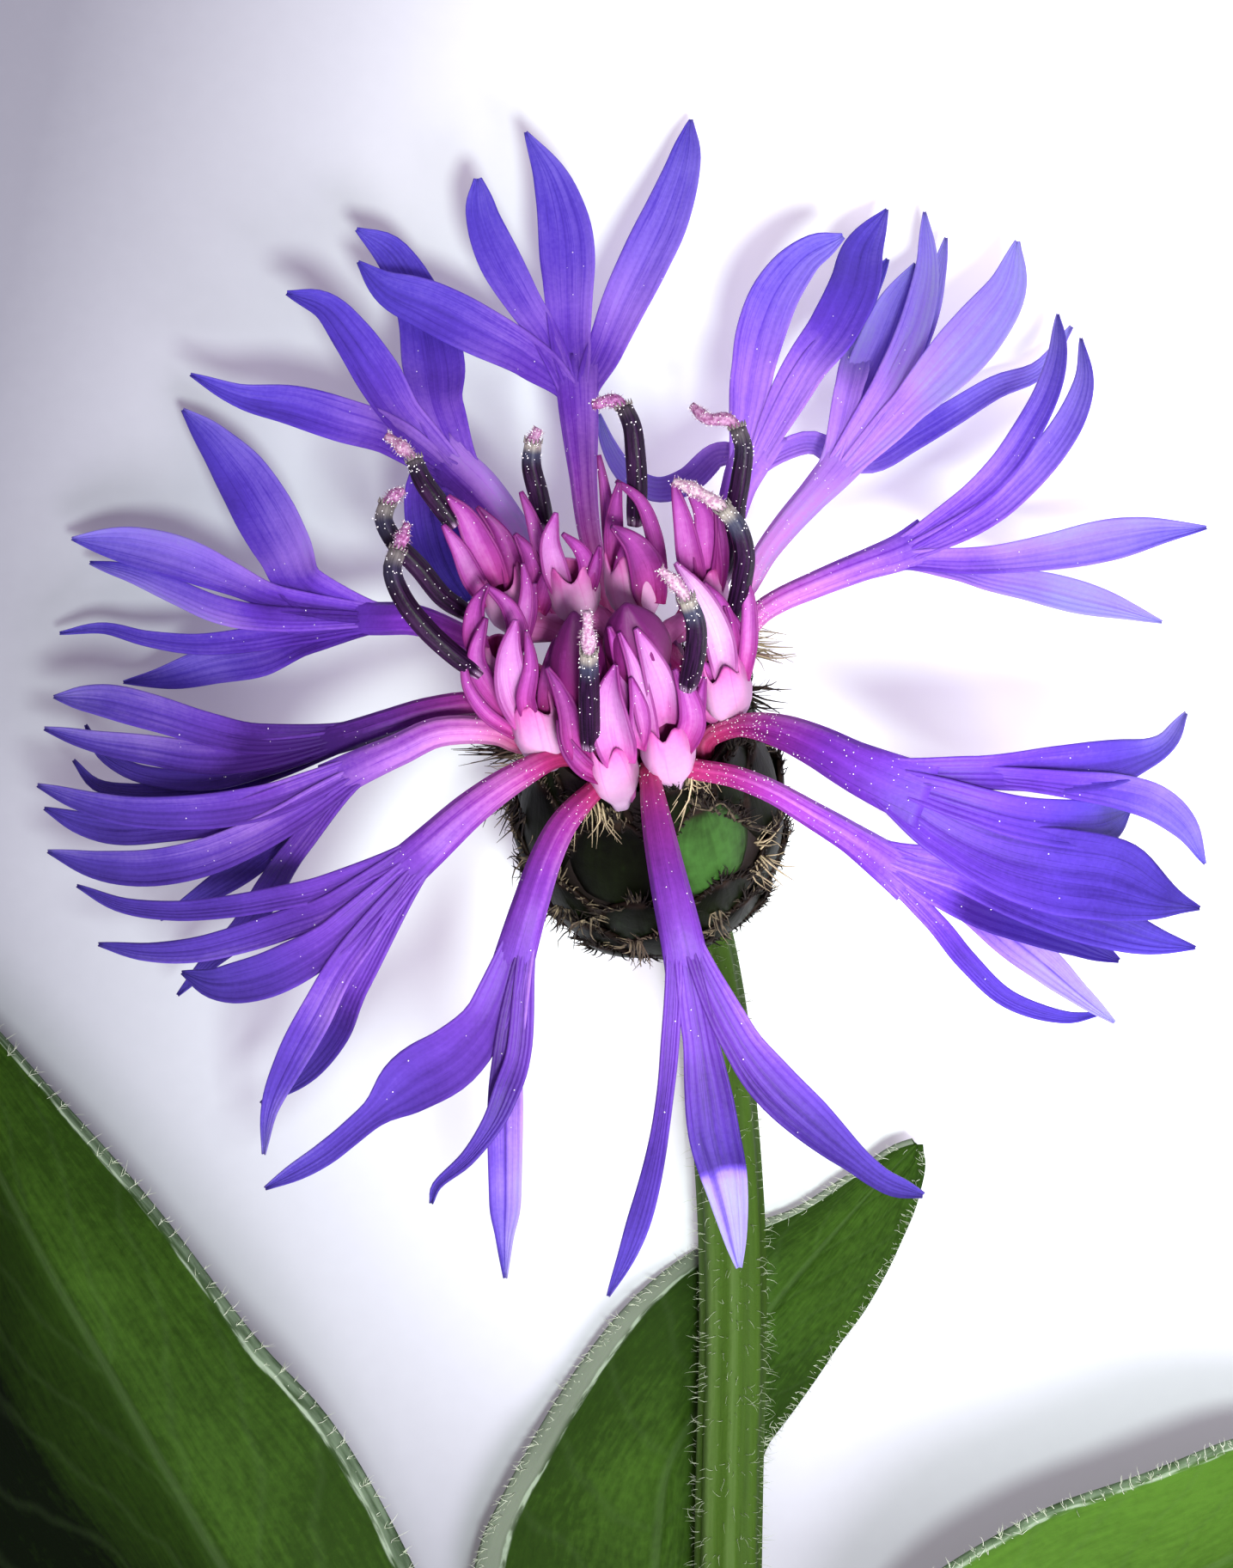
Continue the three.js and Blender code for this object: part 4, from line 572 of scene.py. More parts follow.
# Tufts of shreds and bristles: plan place and height of root and tip, width, count and tone.
SCRAPS = [
    (690, 928, 18.4, 692, 985, 17.2, 26, 26, 0.75), (712, 940, 18.2, 722, 968, 17.4, 16, 12, 0.6),
    (800, 893, 18.8, 776, 960, 17.8, 20, 20, 0.7), (806, 903, 18.7, 836, 922, 18.3, 18, 16, 0.8),
    (740, 1095, 12.8, 742, 1128, 11.6, 16, 9, 0.35), (832, 1062, 12.4, 846, 1096, 11.2, 14, 9, 0.25),
    (882, 985, 12.6, 910, 962, 12.8, 30, 10, 0.6), (880, 1002, 12.2, 918, 1034, 11.2, 26, 8, 0.6),
    (862, 748, 10.6, 924, 744, 10.8, 28, 26, 0.65), (862, 815, 11.8, 904, 836, 12.2, 34, 26, 0.1),
    (862, 860, 12.4, 902, 866, 12.2, 22, 14, 0.3), (600, 868, 14.2, 532, 862, 13.8, 24, 30, 0.05),
    (612, 880, 15, 562, 888, 14.6, 14, 12, 0.5), (600, 935, 12.8, 566, 966, 11.8, 40, 24, 0.0),
    (622, 1005, 12, 598, 1036, 11, 26, 18, 0.0), (652, 1055, 11.8, 642, 1084, 10.6, 24, 16, 0.1),
    (690, 1068, 12.4, 700, 1094, 11.4, 34, 18, 0.1), (838, 948, 18, 846, 930, 18.4, 60, 26, 0.0),
]

STEM_LINE = [
    (783, 1005, 4.6), (803, 1055, 3.5), (816, 1100, 2.7), (832, 1190, 2.4), (843, 1300, 2.8),
    (851, 1420, 3.3), (853, 1560, 3.4), (849, 1720, 3.4), (847, 1900, 3.2), (850, 2120, 2.8),
    (853, 2400, 2.2), (846, 2620, 1.8), (838, 2790, 1.7),
]

# A leaf: its tones from the folded part's outer edge over the left margin and the rib to the right margin,
# how far the wool of its left and right margin reaches, and plan lines with heights, from the stem to the
# tip, of its left edge, its midrib, its right edge and the edge that is folded under.
Leaf = namedtuple("Leaf", "tones wool left rib right under", defaults=(None,))

LEAVES = {
    "leaf_1": Leaf(
        (0.5, 0.42, 0.42, 0.6, 0.62, 0.5), (0.75, 0.0),
        [(806, 2040, 2.6), (700, 2040, 2.2), (600, 1985, 2.4), (552, 1890, 3), (558, 1810, 3),
         (590, 1735, 2.6), (650, 1630, 2), (740, 1510, 1.4), (830, 1445, 1), (930, 1405, 1.6),
         (1000, 1362, 2.4), (1040, 1337, 2.9), (1063, 1331, 3)],
        [(808, 2050, 2.4), (775, 1960, 1.6), (764, 1860, 1.2), (768, 1780, 1), (778, 1710, 0.9),
         (808, 1650, 0.7), (850, 1585, 0.6), (900, 1520, 0.6), (950, 1460, 0.8), (1000, 1402, 1.6),
         (1035, 1365, 2.2), (1066, 1333, 2.9)],
        [(812, 2060, 2.4), (824, 1985, 0.6), (838, 1900, 0.6), (852, 1830, 0.6), (868, 1765, 0.6),
         (885, 1700, 0.6), (915, 1650, 0.6), (960, 1590, 0.8), (1010, 1515, 1.2), (1048, 1445, 2),
         (1067, 1392, 2.6), (1074, 1356, 2.9), (1069, 1334, 3)],
    ),
    "leaf_2": Leaf(
        # leaf_2's tones are painted light and shade: dark on its folded part and left half, pale on its right
        # half.
        (-0.1, -0.05, 0.2, 0.34, 0.62, 0.54), (0.0, 0.36),
        [(812, 2500, 2.2), (660, 2440, 5), (480, 2310, 8), (290, 2080, 10.5), (142, 1825, 11.5),
         (56, 1710, 12), (0, 1600, 11.5), (-70, 1440, 9), (-130, 1270, 6), (-180, 1090, 3),
         (-203, 955, 0.9)],
        [(816, 2470, 3), (690, 2370, 7.5), (540, 2210, 11), (380, 2010, 13), (258, 1825, 14),
         (129, 1602, 14.5), (60, 1485, 14), (-10, 1350, 11.5), (-80, 1200, 8), (-155, 1050, 4),
         (-205, 948, 1)],
        [(816, 2440, 3), (730, 2300, 6), (630, 2130, 8.5), (545, 1960, 10.5), (480, 1825, 11.5),
         (380, 1650, 12), (300, 1560, 12), (150, 1370, 10.5), (30, 1235, 8.5), (-110, 1085, 4.5),
         (-203, 942, 1)],
        [(800, 2520, 1.2), (620, 2470, 2), (420, 2370, 2.6), (200, 2200, 3), (20, 2010, 3), (-70, 1870, 3),
         (-110, 1740, 3), (-140, 1580, 3), (-160, 1400, 2.4), (-190, 1160, 1.4), (-204, 960, 0.8)],
    ),
    "leaf_3": Leaf(
        (0.9, 0.9, 0.95, 0.9, 0.8, 0.6), (0.25, 0.25),
        [(886, 2240, 3), (905, 2130, 4.5), (950, 2010, 6.5), (1020, 1900, 8), (1100, 1825, 9),
         (1200, 1770, 9.5), (1300, 1730, 9.5), (1435, 1680, 9), (1560, 1660, 6), (1690, 1690, 1)],
        [(886, 2262, 3), (940, 2180, 4.5), (1010, 2100, 6), (1100, 2010, 7), (1200, 1940, 7.5),
         (1300, 1880, 7.5), (1400, 1830, 7), (1500, 1780, 6), (1600, 1735, 4), (1693, 1696, 1)],
        [(888, 2285, 3), (1000, 2250, 5), (1110, 2190, 6.5), (1220, 2120, 7.5), (1330, 2050, 8),
         (1430, 1980, 8), (1520, 1910, 7), (1600, 1830, 5), (1660, 1760, 3), (1695, 1702, 1)],
    ),
}

# ---------------------------------------------------------------- materials


class Value:
    """A number or colour in a material's node tree; sums with it add nodes to the tree."""

    def __init__(self, look, socket):
        self.look = look
        self.socket = socket

    def __add__(self, other):
        return self.look.math("ADD", self, other)

    def __sub__(self, other):
        return self.look.math("SUBTRACT", self, other)

    def __rsub__(self, other):
        return self.look.math("SUBTRACT", other, self)

    def __mul__(self, other):
        return self.look.math("MULTIPLY", self, other)

    def __pow__(self, power):
        return self.look.math("POWER", self, power)

    def __abs__(self):
        return self.look.math("ABSOLUTE", self)

    def most(self, other):
        """The greater of two."""
        return self.look.math("MAXIMUM", self, other)

    def clip(self):
        """This sum, held between 0 and 1."""
        self.socket.node.use_clamp = True
        return self

    def step(self, low, high):
        """From 0 at low to 1 at high, with soft ends."""
        inputs = {0: self, 1: low, 2: high}
        return self.look.value("ShaderNodeMapRange", inputs, interpolation_type="SMOOTHSTEP")

    def off(self, weight):
        """A noise about one half, as an offset about nought."""
        return (self - 0.5) * weight


class Look:
    """A material's node tree, with short calls for its nodes."""

    def __init__(self, name, roughness, specular, **sockets):
        self.material = bpy.data.materials.new(name)
        self.material.use_nodes = True
        self.tree = self.material.node_tree
        self.shader = self.tree.nodes["Principled BSDF"]
        self.set(Roughness=roughness, Specular_IOR_Level=specular, **sockets)

    def set(self, **sockets):
        """Constants on the shader, by the names of its sockets."""
        for socket, value in sockets.items():
            self.shader.inputs[socket.replace("_", " ")].default_value = value

    def soften(self, weight, radius, scale=0.001):
        """Lets a little light through a thin or juicy tissue."""
        self.set(Subsurface_Weight=weight, Subsurface_Radius=radius, Subsurface_Scale=scale)

    def link(self, value, socket):
        """Feeds a value to the shader."""
        self.tree.links.new(value.socket, self.shader.inputs[socket])

    def node(self, kind, inputs, **settings):
        """A new node, fed with values and constants."""
        node = self.tree.nodes.new(kind)
        for setting, value in settings.items():
            setattr(node, setting, value)
        for socket, value in inputs.items():
            if isinstance(value, Value):
                self.tree.links.new(value.socket, node.inputs[socket])
            else:
                node.inputs[socket].default_value = value
        return node

    def value(self, kind, inputs, output=0, **settings):
        """One output of a new node."""
        return Value(self, self.node(kind, inputs, **settings).outputs[output])

    def math(self, operation, a, b=0.0):
        """A sum of one or two values."""
        return self.value("ShaderNodeMath", {0: a, 1: b}, operation=operation)

    def paint(self):
        """The four painted numbers: along, across, tone and seed."""
        node = self.node("ShaderNodeAttribute", {}, attribute_name="paint")
        parts = self.node("ShaderNodeSeparateColor", {0: Value(self, node.outputs["Color"])}).outputs
        return [Value(self, socket) for socket in (*parts, node.outputs["Alpha"])]

    def vector(self, x, y, z):
        """Three values as one."""
        return self.value("ShaderNodeCombineXYZ", {0: x, 1: y, 2: z})

    def place(self):
        """The place in the object, in metres."""
        return self.value("ShaderNodeTexCoord", {}, "Object")

    def noise(self, vector, detail=2.0, scale=1.0):
        """Noise over a vector."""
        return self.value("ShaderNodeTexNoise", {"Vector": vector, "Scale": scale, "Detail": detail})

    def grain(self, scale, detail=2.0):
        """Noise over the place, in grains of one size."""
        return self.noise(self.place(), detail, scale)

    def mix(self, share, a, b):
        """From colour a at 0 to colour b at 1."""
        a, b = (tone if isinstance(tone, Value) else (*tone, 1) for tone in (a, b))
        return self.value("ShaderNodeMix", {0: share, 6: a, 7: b}, 2, data_type="RGBA")

    def ramp(self, value, *stops):
        """A colour ramp through stops of (position, red, green, blue)."""
        node = self.node("ShaderNodeValToRGB", {0: value})
        elements = node.color_ramp.elements
        for k, (position, *colour) in enumerate(stops):
            element = elements[k] if k < 2 else elements.new(position)
            element.position = position
            element.color = (*colour, 1)
        return Value(self, node.outputs[0])

    def finish(self, colour, relief, strength=0.3, depth=0.0001):
        """The material, with its colour and its fine relief."""
        self.link(colour, "Base Color")
        inputs = {"Height": relief, "Strength": strength, "Distance": depth}
        self.link(self.value("ShaderNodeBump", inputs), "Normal")
        return self.material


def petal_look(name, deep, middle, pale, frost, streak=0.36, margin=None):
    """Petal tissue: ramps from root to tip, mixed by tone, with soft streaks and fine dark veins."""
    look = Look(name, 0.55, 0.25)
    look.soften(0.1, (0.6, 0.3, 1.0))
    along, across, tone, seed = look.paint()
    far = seed * 60.0
    broad = look.noise(look.vector(across * 5.5, along * 2.4, far))
    fine = look.noise(look.vector(across * 30.0, along * 5.0, far), 3.0)
    path = look.noise(look.vector(across * 8.0, along, far), 1.0)
    vein = abs(path - 0.5).step(0.03, 0.0)
    cells = look.grain(4200.0)
    blotch = look.grain(380.0)
    shade = tone + broad.off(streak) + fine.off(streak * 0.45)
    shade = shade + cells.off(0.22) + blotch.off(0.3) - vein * 0.16
    colour = look.ramp(along, *deep)
    for level, lighter in enumerate((look.ramp(along, *middle), look.ramp(along, *pale), frost)):
        colour = look.mix((shade * 2.0 - level).clip(), colour, lighter)
    if margin:
        rim = abs(across - 0.5).step(0.445, 0.48) * along.step(0.5, 0.6)
        colour = look.mix(rim * 0.75, colour, margin)
    return look.finish(colour, fine * 0.6 + cells * 0.5)


def ray_petal_look(name, blue):
    """Tissue of the outer florets, magenta at the tube and violet-blue at the lobes, its blue scaled."""
    places = (0, 0.1, 0.16, 0.24, 0.34, 0.46, 0.7, 1)
    deep = [(0.17, 0.003, 0.045), (0.18, 0.003, 0.055), (0.15, 0.003, 0.08), (0.085, 0.002, 0.115),
            (0.045, 0.003, 0.14), (0.034, 0.004, 0.15), (0.024, 0.006, 0.17), (0.018, 0.008, 0.15)]
    middle = [(0.42, 0.036, 0.12), (0.45, 0.032, 0.16), (0.40, 0.028, 0.21), (0.27, 0.024, 0.33),
              (0.165, 0.025, 0.42), (0.12, 0.033, 0.45), (0.082, 0.035, 0.44), (0.062, 0.042, 0.42)]
    pale = [(0.62, 0.18, 0.34), (0.64, 0.19, 0.40), (0.60, 0.19, 0.46), (0.52, 0.18, 0.58),
            (0.42, 0.17, 0.66), (0.35, 0.16, 0.68), (0.24, 0.145, 0.66), (0.20, 0.165, 0.64)]
    ramps = [[(place, red, green, strength * blue) for place, (red, green, strength) in zip(places, tones)]
             for tones in (deep, middle, pale)]
    return petal_look(name, *ramps, (0.27, 0.27, 0.54 * blue))


def disc_petal_look():
    """Tissue of the disc florets: white-pink at the throat, magenta in the lobes, with dark margins."""
    deep = [(0, 0.32, 0.06, 0.16), (0.35, 0.26, 0.008, 0.11), (0.5, 0.19, 0.005, 0.085),
            (0.75, 0.13, 0.006, 0.10), (1, 0.08, 0.005, 0.08)]
    middle = [(0, 0.50, 0.23, 0.44), (0.35, 0.44, 0.09, 0.33), (0.5, 0.40, 0.045, 0.27),
              (0.75, 0.32, 0.048, 0.30), (1, 0.26, 0.036, 0.26)]
    pale = [(0, 0.54, 0.36, 0.54), (0.35, 0.52, 0.22, 0.46), (0.5, 0.48, 0.16, 0.43),
            (0.75, 0.48, 0.21, 0.49), (1, 0.38, 0.12, 0.39)]
    return petal_look("disc petal", deep, middle, pale, (0.56, 0.42, 0.58), 0.34, (0.14, 0.006, 0.11))


def anther_look():
    """Fused anthers: near-black purple ridges, paler at the foot, and slaty and then cream at the mouth."""
    look = Look("anther", 0.45, 0.14)
    along, across, cap, seed = look.paint()
    lines = look.noise(look.vector(across * 16.0, along * 3.0, seed))
    dark = look.mix(lines.step(0.35, 0.75), (0.005, 0.001, 0.008), (0.028, 0.006, 0.038))
    foot = look.mix(lines.step(0.35, 0.6), (0.06, 0.012, 0.06), (0.34, 0.22, 0.36))
    slate = look.mix(lines, (0.014, 0.010, 0.032), (0.055, 0.060, 0.105))
    cream = look.mix(lines, (0.10, 0.07, 0.09), (0.40, 0.36, 0.31))
    colour = look.mix(along.step(0.0, 0.10), foot, dark)
    colour = look.mix(along.step(0.72, 0.9) * cap, colour, slate)
    colour = look.mix(along.step(0.88, 0.97) * cap, colour, cream)
    return look.finish(colour, look.grain(4200.0, 3.0), 0.35, 0.00008)


def style_look():
    """Styles: fuzzy, from magenta to cream by their tone."""
    look = Look("style", 0.7, 0.25)
    look.soften(0.15, (1.0, 0.5, 0.5), 0.0005)
    _, _, tone, _ = look.paint()
    grain = look.grain(5200.0, 3.0)
    speck = grain.step(0.35, 0.65)
    rose = look.mix(speck, (0.16, 0.008, 0.12), (0.40, 0.13, 0.38))
    cream = look.mix(speck, (0.40, 0.20, 0.34), (0.58, 0.50, 0.50))
    return look.finish(look.mix(tone, rose, cream), grain, 0.8)


def plain_look(name, dark, light, scale, roughness):
    """A tissue whose colour wanders between two tones in grains of one size."""
    look = Look(name, roughness, 0.2)
    _, _, tone, _ = look.paint()
    grain = look.grain(scale, 3.0)
    return look.finish(look.mix((grain.off(0.9) + tone).clip(), dark, light), grain, 0.5)


def bract_look():
    """Bracts: green shields with fine lines, painted shade towards their edges and tips, and a dark dry
    margin.
    """
    look = Look("bract", 0.5, 0.06)
    along, across, tone, seed = look.paint()
    grain = look.grain(1500.0, 3.0)
    lines = look.noise(look.vector(across * 16.0, along, seed * 40.0))
    side = abs(across - 0.5) * 2.0
    # Painted shade: each bract darkens from its middle towards its edges and tip, so that it looks rounded.
    shade = tone + lines.off(0.3) + grain.off(0.4) - side.most(along) ** 2.5 * 0.5
    green = look.ramp(shade, (0, 0.002, 0.002, 0.001), (0.3, 0.005, 0.007, 0.002),
                      (0.6, 0.012, 0.026, 0.006), (1, 0.040, 0.108, 0.022))
    edge = (side * along.step(0.1, 0.5)).most(along ** 1.4) + grain.off(0.16)
    rim = look.ramp(grain, (0.3, 0.004, 0.002, 0.002), (0.7, 0.020, 0.011, 0.008))
    return look.finish(look.mix(edge.step(0.78, 0.9), green, rim), grain + lines)


def stem_look():
    """Stem: fine lines of light and dark green along it."""
    look = Look("stem", 0.65, 0.08)
    look.soften(0.06, (0.5, 1.0, 0.3))
    along, across, tone, _ = look.paint()
    lines = look.noise(look.vector(across * 40.0, along * 14.0, 3.0), 3.0)
    shade = tone + lines.off(0.34)
    colour = look.ramp(shade, (0, 0.010, 0.022, 0.003), (0.5, 0.036, 0.076, 0.008), (1, 0.115, 0.175, 0.060))
    return look.finish(colour, look.grain(2600.0) + lines, 0.4, 0.00012)


def leaf_look():
    """Leaf blades: green and finely felted, with faint side veins, a sunken rib and a pale woolly margin."""
    look = Look("leaf", 0.7, 0.04)
    look.soften(0.06, (0.4, 1.0, 0.2))
    along, across, tone, wool = look.paint()
    out = abs(across - 0.5)
    wander = look.grain(160.0)
    hair = look.noise(look.vector(across * 46.0, along * 30.0, 0.0), 4.0)
    grain = look.grain(2200.0, 3.0)
    shade = tone + look.grain(85.0, 3.0).off(0.4) + hair.off(0.36) + grain.off(0.22)
    green = look.ramp(shade, (0, 0.0016, 0.004, 0.0006), (0.5, 0.0135, 0.034, 0.003),
                      (1, 0.052, 0.122, 0.013))
    run = look.math("FRACT", along * 11.0 - out * 4.6 + wander * 0.9)
    side_vein = abs(run - 0.5).step(0.38, 0.5)
    veins = (side_vein * 0.10).most(out.step(0.030, 0.006) * 0.3)
    colour = look.mix(veins, green, (0.05, 0.085, 0.03))
    woolly = wool.step(0.05, 0.2)
    past = out + wander.off(0.05) - (0.5 - wool * 0.1)
    felt = look.mix(hair.step(0.3, 0.7), (0.035, 0.055, 0.030), (0.12, 0.16, 0.11))
    felt = look.mix(wool.step(0.4, 0.8), felt, (0.15, 0.175, 0.135))
    colour = look.mix(past.step(-0.014, 0.018) * woolly * 0.85, colour, felt)
    line = abs(past).step(0.012, 0.004) * hair.step(0.42, 0.6) * woolly
    colour = look.mix(line * 0.8, colour, (0.26, 0.32, 0.24))
    return look.finish(colour, hair * 0.6 + grain * 0.3 - veins * 2.0, 0.4, 0.00025)


def floor_look():
    """Paper: pale, with a painted glow that lifts the shadows on it, and a painted falloff of light that
    greys it and dims the glow towards the left and at both ends.
    """
    look = Look("floor", 0.8, 0.2, Emission_Strength=1.0)
    grain = look.grain(900.0, 4.0)
    place = look.node("ShaderNodeSeparateXYZ", {0: look.place()}).outputs
    x, y = Value(look, place[0]), Value(look, place[1])
    # The shares below paint a falloff of light: the paper greyer, and its glow dimmer, towards the left and
    # at both ends.
    back = (y - 0.01).most(0.0)
    front = (-0.003 - y).most(0.0)
    share = look.math("MINIMUM", (x + 0.044) * 17.0, 0.85)
    share = (share - back * 3.5).clip()
    # Painted glow: the paper gives off light, strongest on the right, which lifts the shadows on it.
    painted_glow = look.ramp(share, (0, 0.01, 0.01, 0.01), (0.3, 0.08, 0.075, 0.082), (0.8, 0.30, 0.29, 0.30))
    look.link(painted_glow, "Emission Color")
    look.link((1.0 - front * 7.0).clip(), "Emission Strength")
    share = share * (1.0 - front * 24.0).clip() + grain.off(0.03)
    colour = look.ramp(share, (0, 0.27, 0.27, 0.32), (0.3, 0.48, 0.49, 0.55), (0.8, 0.87, 0.88, 0.90))
    return look.finish(colour, grain, 0.05)


# ---------------------------------------------------------------- pollen

GRAIN_POINTS = unit([
    (0, 1, 1.618), (0, -1, 1.618), (0, 1, -1.618), (0, -1, -1.618), (1, 1.618, 0), (-1, 1.618, 0),
    (1, -1.618, 0), (-1, -1.618, 0), (1.618, 0, 1), (-1.618, 0, 1), (1.618, 0, -1), (-1.618, 0, -1),
])
GRAIN_FACES = np.array([
    (0, 1, 8), (0, 8, 4), (0, 4, 5), (0, 5, 9), (0, 9, 1), (1, 6, 8), (8, 6, 10), (8, 10, 4), (4, 10, 2),
    (4, 2, 5), (5, 2, 11), (5, 11, 9), (9, 11, 7), (9, 7, 1), (1, 7, 6), (3, 6, 7), (3, 7, 11), (3, 11, 2),
    (3, 2, 10), (3, 10, 6),
])


def dust(shape, points, normals, count, size, tone):
    """Pollen grains sitting on some of the points."""
    for pick in RANDOM.integers(0, len(points), count):
        radius = size * RANDOM.uniform(0.6, 1.3)
        jitter = RANDOM.normal(0, 0.12, 3)
        normal = normals[pick]
        centre = points[pick] + normal * radius * 0.6 + jitter - normal * (jitter @ normal)
        paint = 0, 0, tone * RANDOM.uniform(0.8, 1.2), RANDOM.random()
        shape.add(centre + GRAIN_POINTS * radius, [GRAIN_FACES], paint)


def dust_rings(shape, rings, line, chosen, *grains):
    """Pollen grains on the chosen points of the rings round a line."""
    points = rings[:, chosen].reshape(-1, 3)
    dust(shape, points, unit(points - np.repeat(line, int(chosen.sum()), axis=0)), *grains)


# ---------------------------------------------------------------- petals of both kinds of floret


def petal_top(line, width, t, cup, power, ripple, folds=0.0, roll=0.0):
    """A petal's upper side (n, m, 3), cupped and rippled across its line, and the directions out of it."""
    side, face = frames(line)
    side, face = side * np.cos(roll) + face * np.sin(roll), face * np.cos(roll) - side * np.sin(roll)
    half = width[:, None] / 2
    rise = half * (cup * np.abs(t) ** power + ripple * np.abs(t)) - folds
    return line[:, None] + side[:, None] * (half * t)[..., None] + face[:, None] * rise[..., None], face


# ---------------------------------------------------------------- ray florets

TUBE_STEPS = 34
TUBE_SIDES = 28
TUBE_RIBS = 8
TUBE_RELIEF = 0.07
TUBE_RIB_SHADE = 0.09
TUBE_SHADES_AT = [0.15, 0.5, 1]
TUBE_DUST = [(slice(6, 16), 0.6), (slice(12, TUBE_STEPS), 0.4)]
ROOT_WIDTH = 1.1
LOBE_STEPS = 40
LOBE_COLUMNS = np.linspace(-1, 1, 17)
LOBE_BACK = 4.5
LOBE_CUP = 0.24
LOBE_RIPPLE = 0.05
LOBE_CREASE = 0.035
LOBE_DUST = slice(8, 24)
LOBE_GRAINS = 4

# The florets on the side of the stem, whose tissue is less blue.
LOW_RAYS = range(4, 9)


def tube_line(ray):
    """A ray floret's tube, from its root in the cup, over the sill of the mouth and out to its throat."""
    root = about_head(ray.angle, ROOT_RADIUS, -ROOT_DEPTH)
    sill = about_head(ray.angle, SILL_RADIUS, SILL_HEIGHT)
    return smooth_line(np.vstack([root, sill, spots(ray.tube)]), TUBE_STEPS)


def ray_tube(shape, ray, seed, pollen):
    """A ribbed tube that widens and flattens towards its throat, with pollen on its upper side."""
    line = tube_line(ray)
    share = np.linspace(0, 1, TUBE_STEPS)
    width = straight([ROOT_WIDTH, ROOT_WIDTH, *ray.widths], share)
    thick = np.minimum(width, TUBE_THICK) * (1 - 0.75 * smooth_step(share, 0.72, 1))
    fade = 1 - smooth_step(share, 0.7, 0.95)[:, None]
    rings, turn = rod_rings(line, width, thick, TUBE_SIDES)
    relief = TUBE_RELIEF * fade * np.cos(TUBE_RIBS * turn)
    rings = line[:, None] + (rings - line[:, None]) * (1 + relief)[..., None]
    left, right = ray.sides
    tone = left + (right - left) * smooth_step((np.cos(turn) + 1) / 2, ray.split, ray.split + 0.6)
    # Painted light and shade on the ribs: paler on each rib and darker in the grooves between them.
    tone = tone + TUBE_RIB_SHADE * fade * np.cos(TUBE_RIBS * turn)
    tone = tone + np.interp(share, TUBE_SHADES_AT, ray.shades)[:, None]
    shape.loft(rings, painted(0.5 * share[:, None], turn / np.pi, tone, seed))
    for part, weight in TUBE_DUST:
        count = int(weight * 1.5 * ray.pollen)
        dust_rings(pollen, rings[part], line[part], np.sin(turn) > 0.2, count, 0.028, 0.9)


def lobe_line(ray, lobe):
    """A lobe's line from inside its tube to its tip, and the share of it that lies in the tube."""
    tube = tube_line(ray)
    side, face = frames(tube)
    tip, middle, throat = lobe.heights
    front = []
    for s, (u, v) in zip(np.linspace(0, 1, len(lobe.line)), lobe.line):
        height = tip * (1 - s) * (1 - 2 * s) + middle * 4 * s * (1 - s) + throat * s * (2 * s - 1)
        front.insert(0, spot(u, v, height))
    lean = np.clip((front[0] - tube[-1]) @ side[-1] / (ray.widths[-1] / 2), -1, 1) * 0.45
    back = []
    for behind, sink in ((LOBE_BACK, 0.1), (LOBE_BACK / 2, 0)):
        place = int(round((1 - behind / line_length(tube)) * (TUBE_STEPS - 1)))
        width = straight([ROOT_WIDTH, *ray.widths], place / (TUBE_STEPS - 1))
        back.append(tube[place] + side[place] * lean * width / 2 - face[place] * sink)
    line = smooth_line(np.vstack([back, front]), LOBE_STEPS)
    return line, min(line_length([*back, front[0]]) / line_length(line), 0.45)


def ray_lobe(shape, ray, lobe, seed, pollen):
    """A long lobe that grows out of its tube, with a crease down its middle."""
    line, inside = lobe_line(ray, lobe)
    share = np.linspace(0, 1, LOBE_STEPS)
    front = np.clip((share - inside) / (1 - inside), 0, 1)
    width = lobe.width * PLAN_UNIT * np.maximum(blend(lobe.shares, front), 0.02)
    start = min(0.2 * ray.widths[-1], width[0])
    width = np.where(share < inside, start + (width - start) * smooth_step(share, 0, inside), width)
    t = LOBE_COLUMNS[None, :]
    cup = LOBE_CUP * (1.25 - 0.5 * front)[:, None]
    ripple = LOBE_RIPPLE * np.sin(9 * front[:, None] + 2 * np.pi * seed * 7 + 1.3 * t)
    folds = LOBE_CREASE * np.cos(5 * np.pi * t)
    top, face = petal_top(line, width, t, cup, 1.6, ripple, folds=folds)
    join = ray.shades[2] + sum(ray.sides) / 2
    tone = ray.lift + straight(lobe.tone, front)
    tone = join + (tone - join) * smooth_step(front, -0.05, 0.2)
    # Painted shade darkens the crease down the lobe's middle.
    tone = tone[:, None] + lobe.side * t - lobe.crease * np.exp(-((t / 0.09) ** 2))
    beyond = smooth_step(front, lobe.pale_tip, lobe.pale_tip + 0.02)[:, None]
    tone = tone * (1 - beyond) + beyond * (1.3 - 0.7 * np.exp(-(((t - 0.5) / 0.2) ** 2)))
    along = np.where(share < inside, 0.42 + 0.08 * share / inside, 0.5 + 0.5 * front)
    thick = PETAL_THICK * (0.45 + 0.55 * np.minimum(1, 5 * (1 - share)))[:, None]
    shell(shape, top, thick, painted(along[:, None], (t + 1) / 2, tone, seed))
    normals = np.repeat(face[LOBE_DUST], len(LOBE_COLUMNS), axis=0)
    dust(pollen, top[LOBE_DUST].reshape(-1, 3), normals, LOBE_GRAINS, 0.034, 0.9)


def ray_florets(petal, low_petal, pollen):
    """The thirteen ray florets, one piece each."""
    for number, ray in enumerate(RAY_FLORETS, 1):
        shape = Shape()
        seed = (number * 0.173) % 1
        ray_tube(shape, ray, seed, pollen)
        for k, lobe in enumerate(ray.lobes, 1):
            ray_lobe(shape, ray, lobe, (seed + 0.21 * k) % 1, pollen)
        node = f"ray_floret_{number:02d}"
        shape.piece(f"{node}_petals", low_petal if number in LOW_RAYS else petal, "ray_petals", node)


# ---------------------------------------------------------------- disc florets

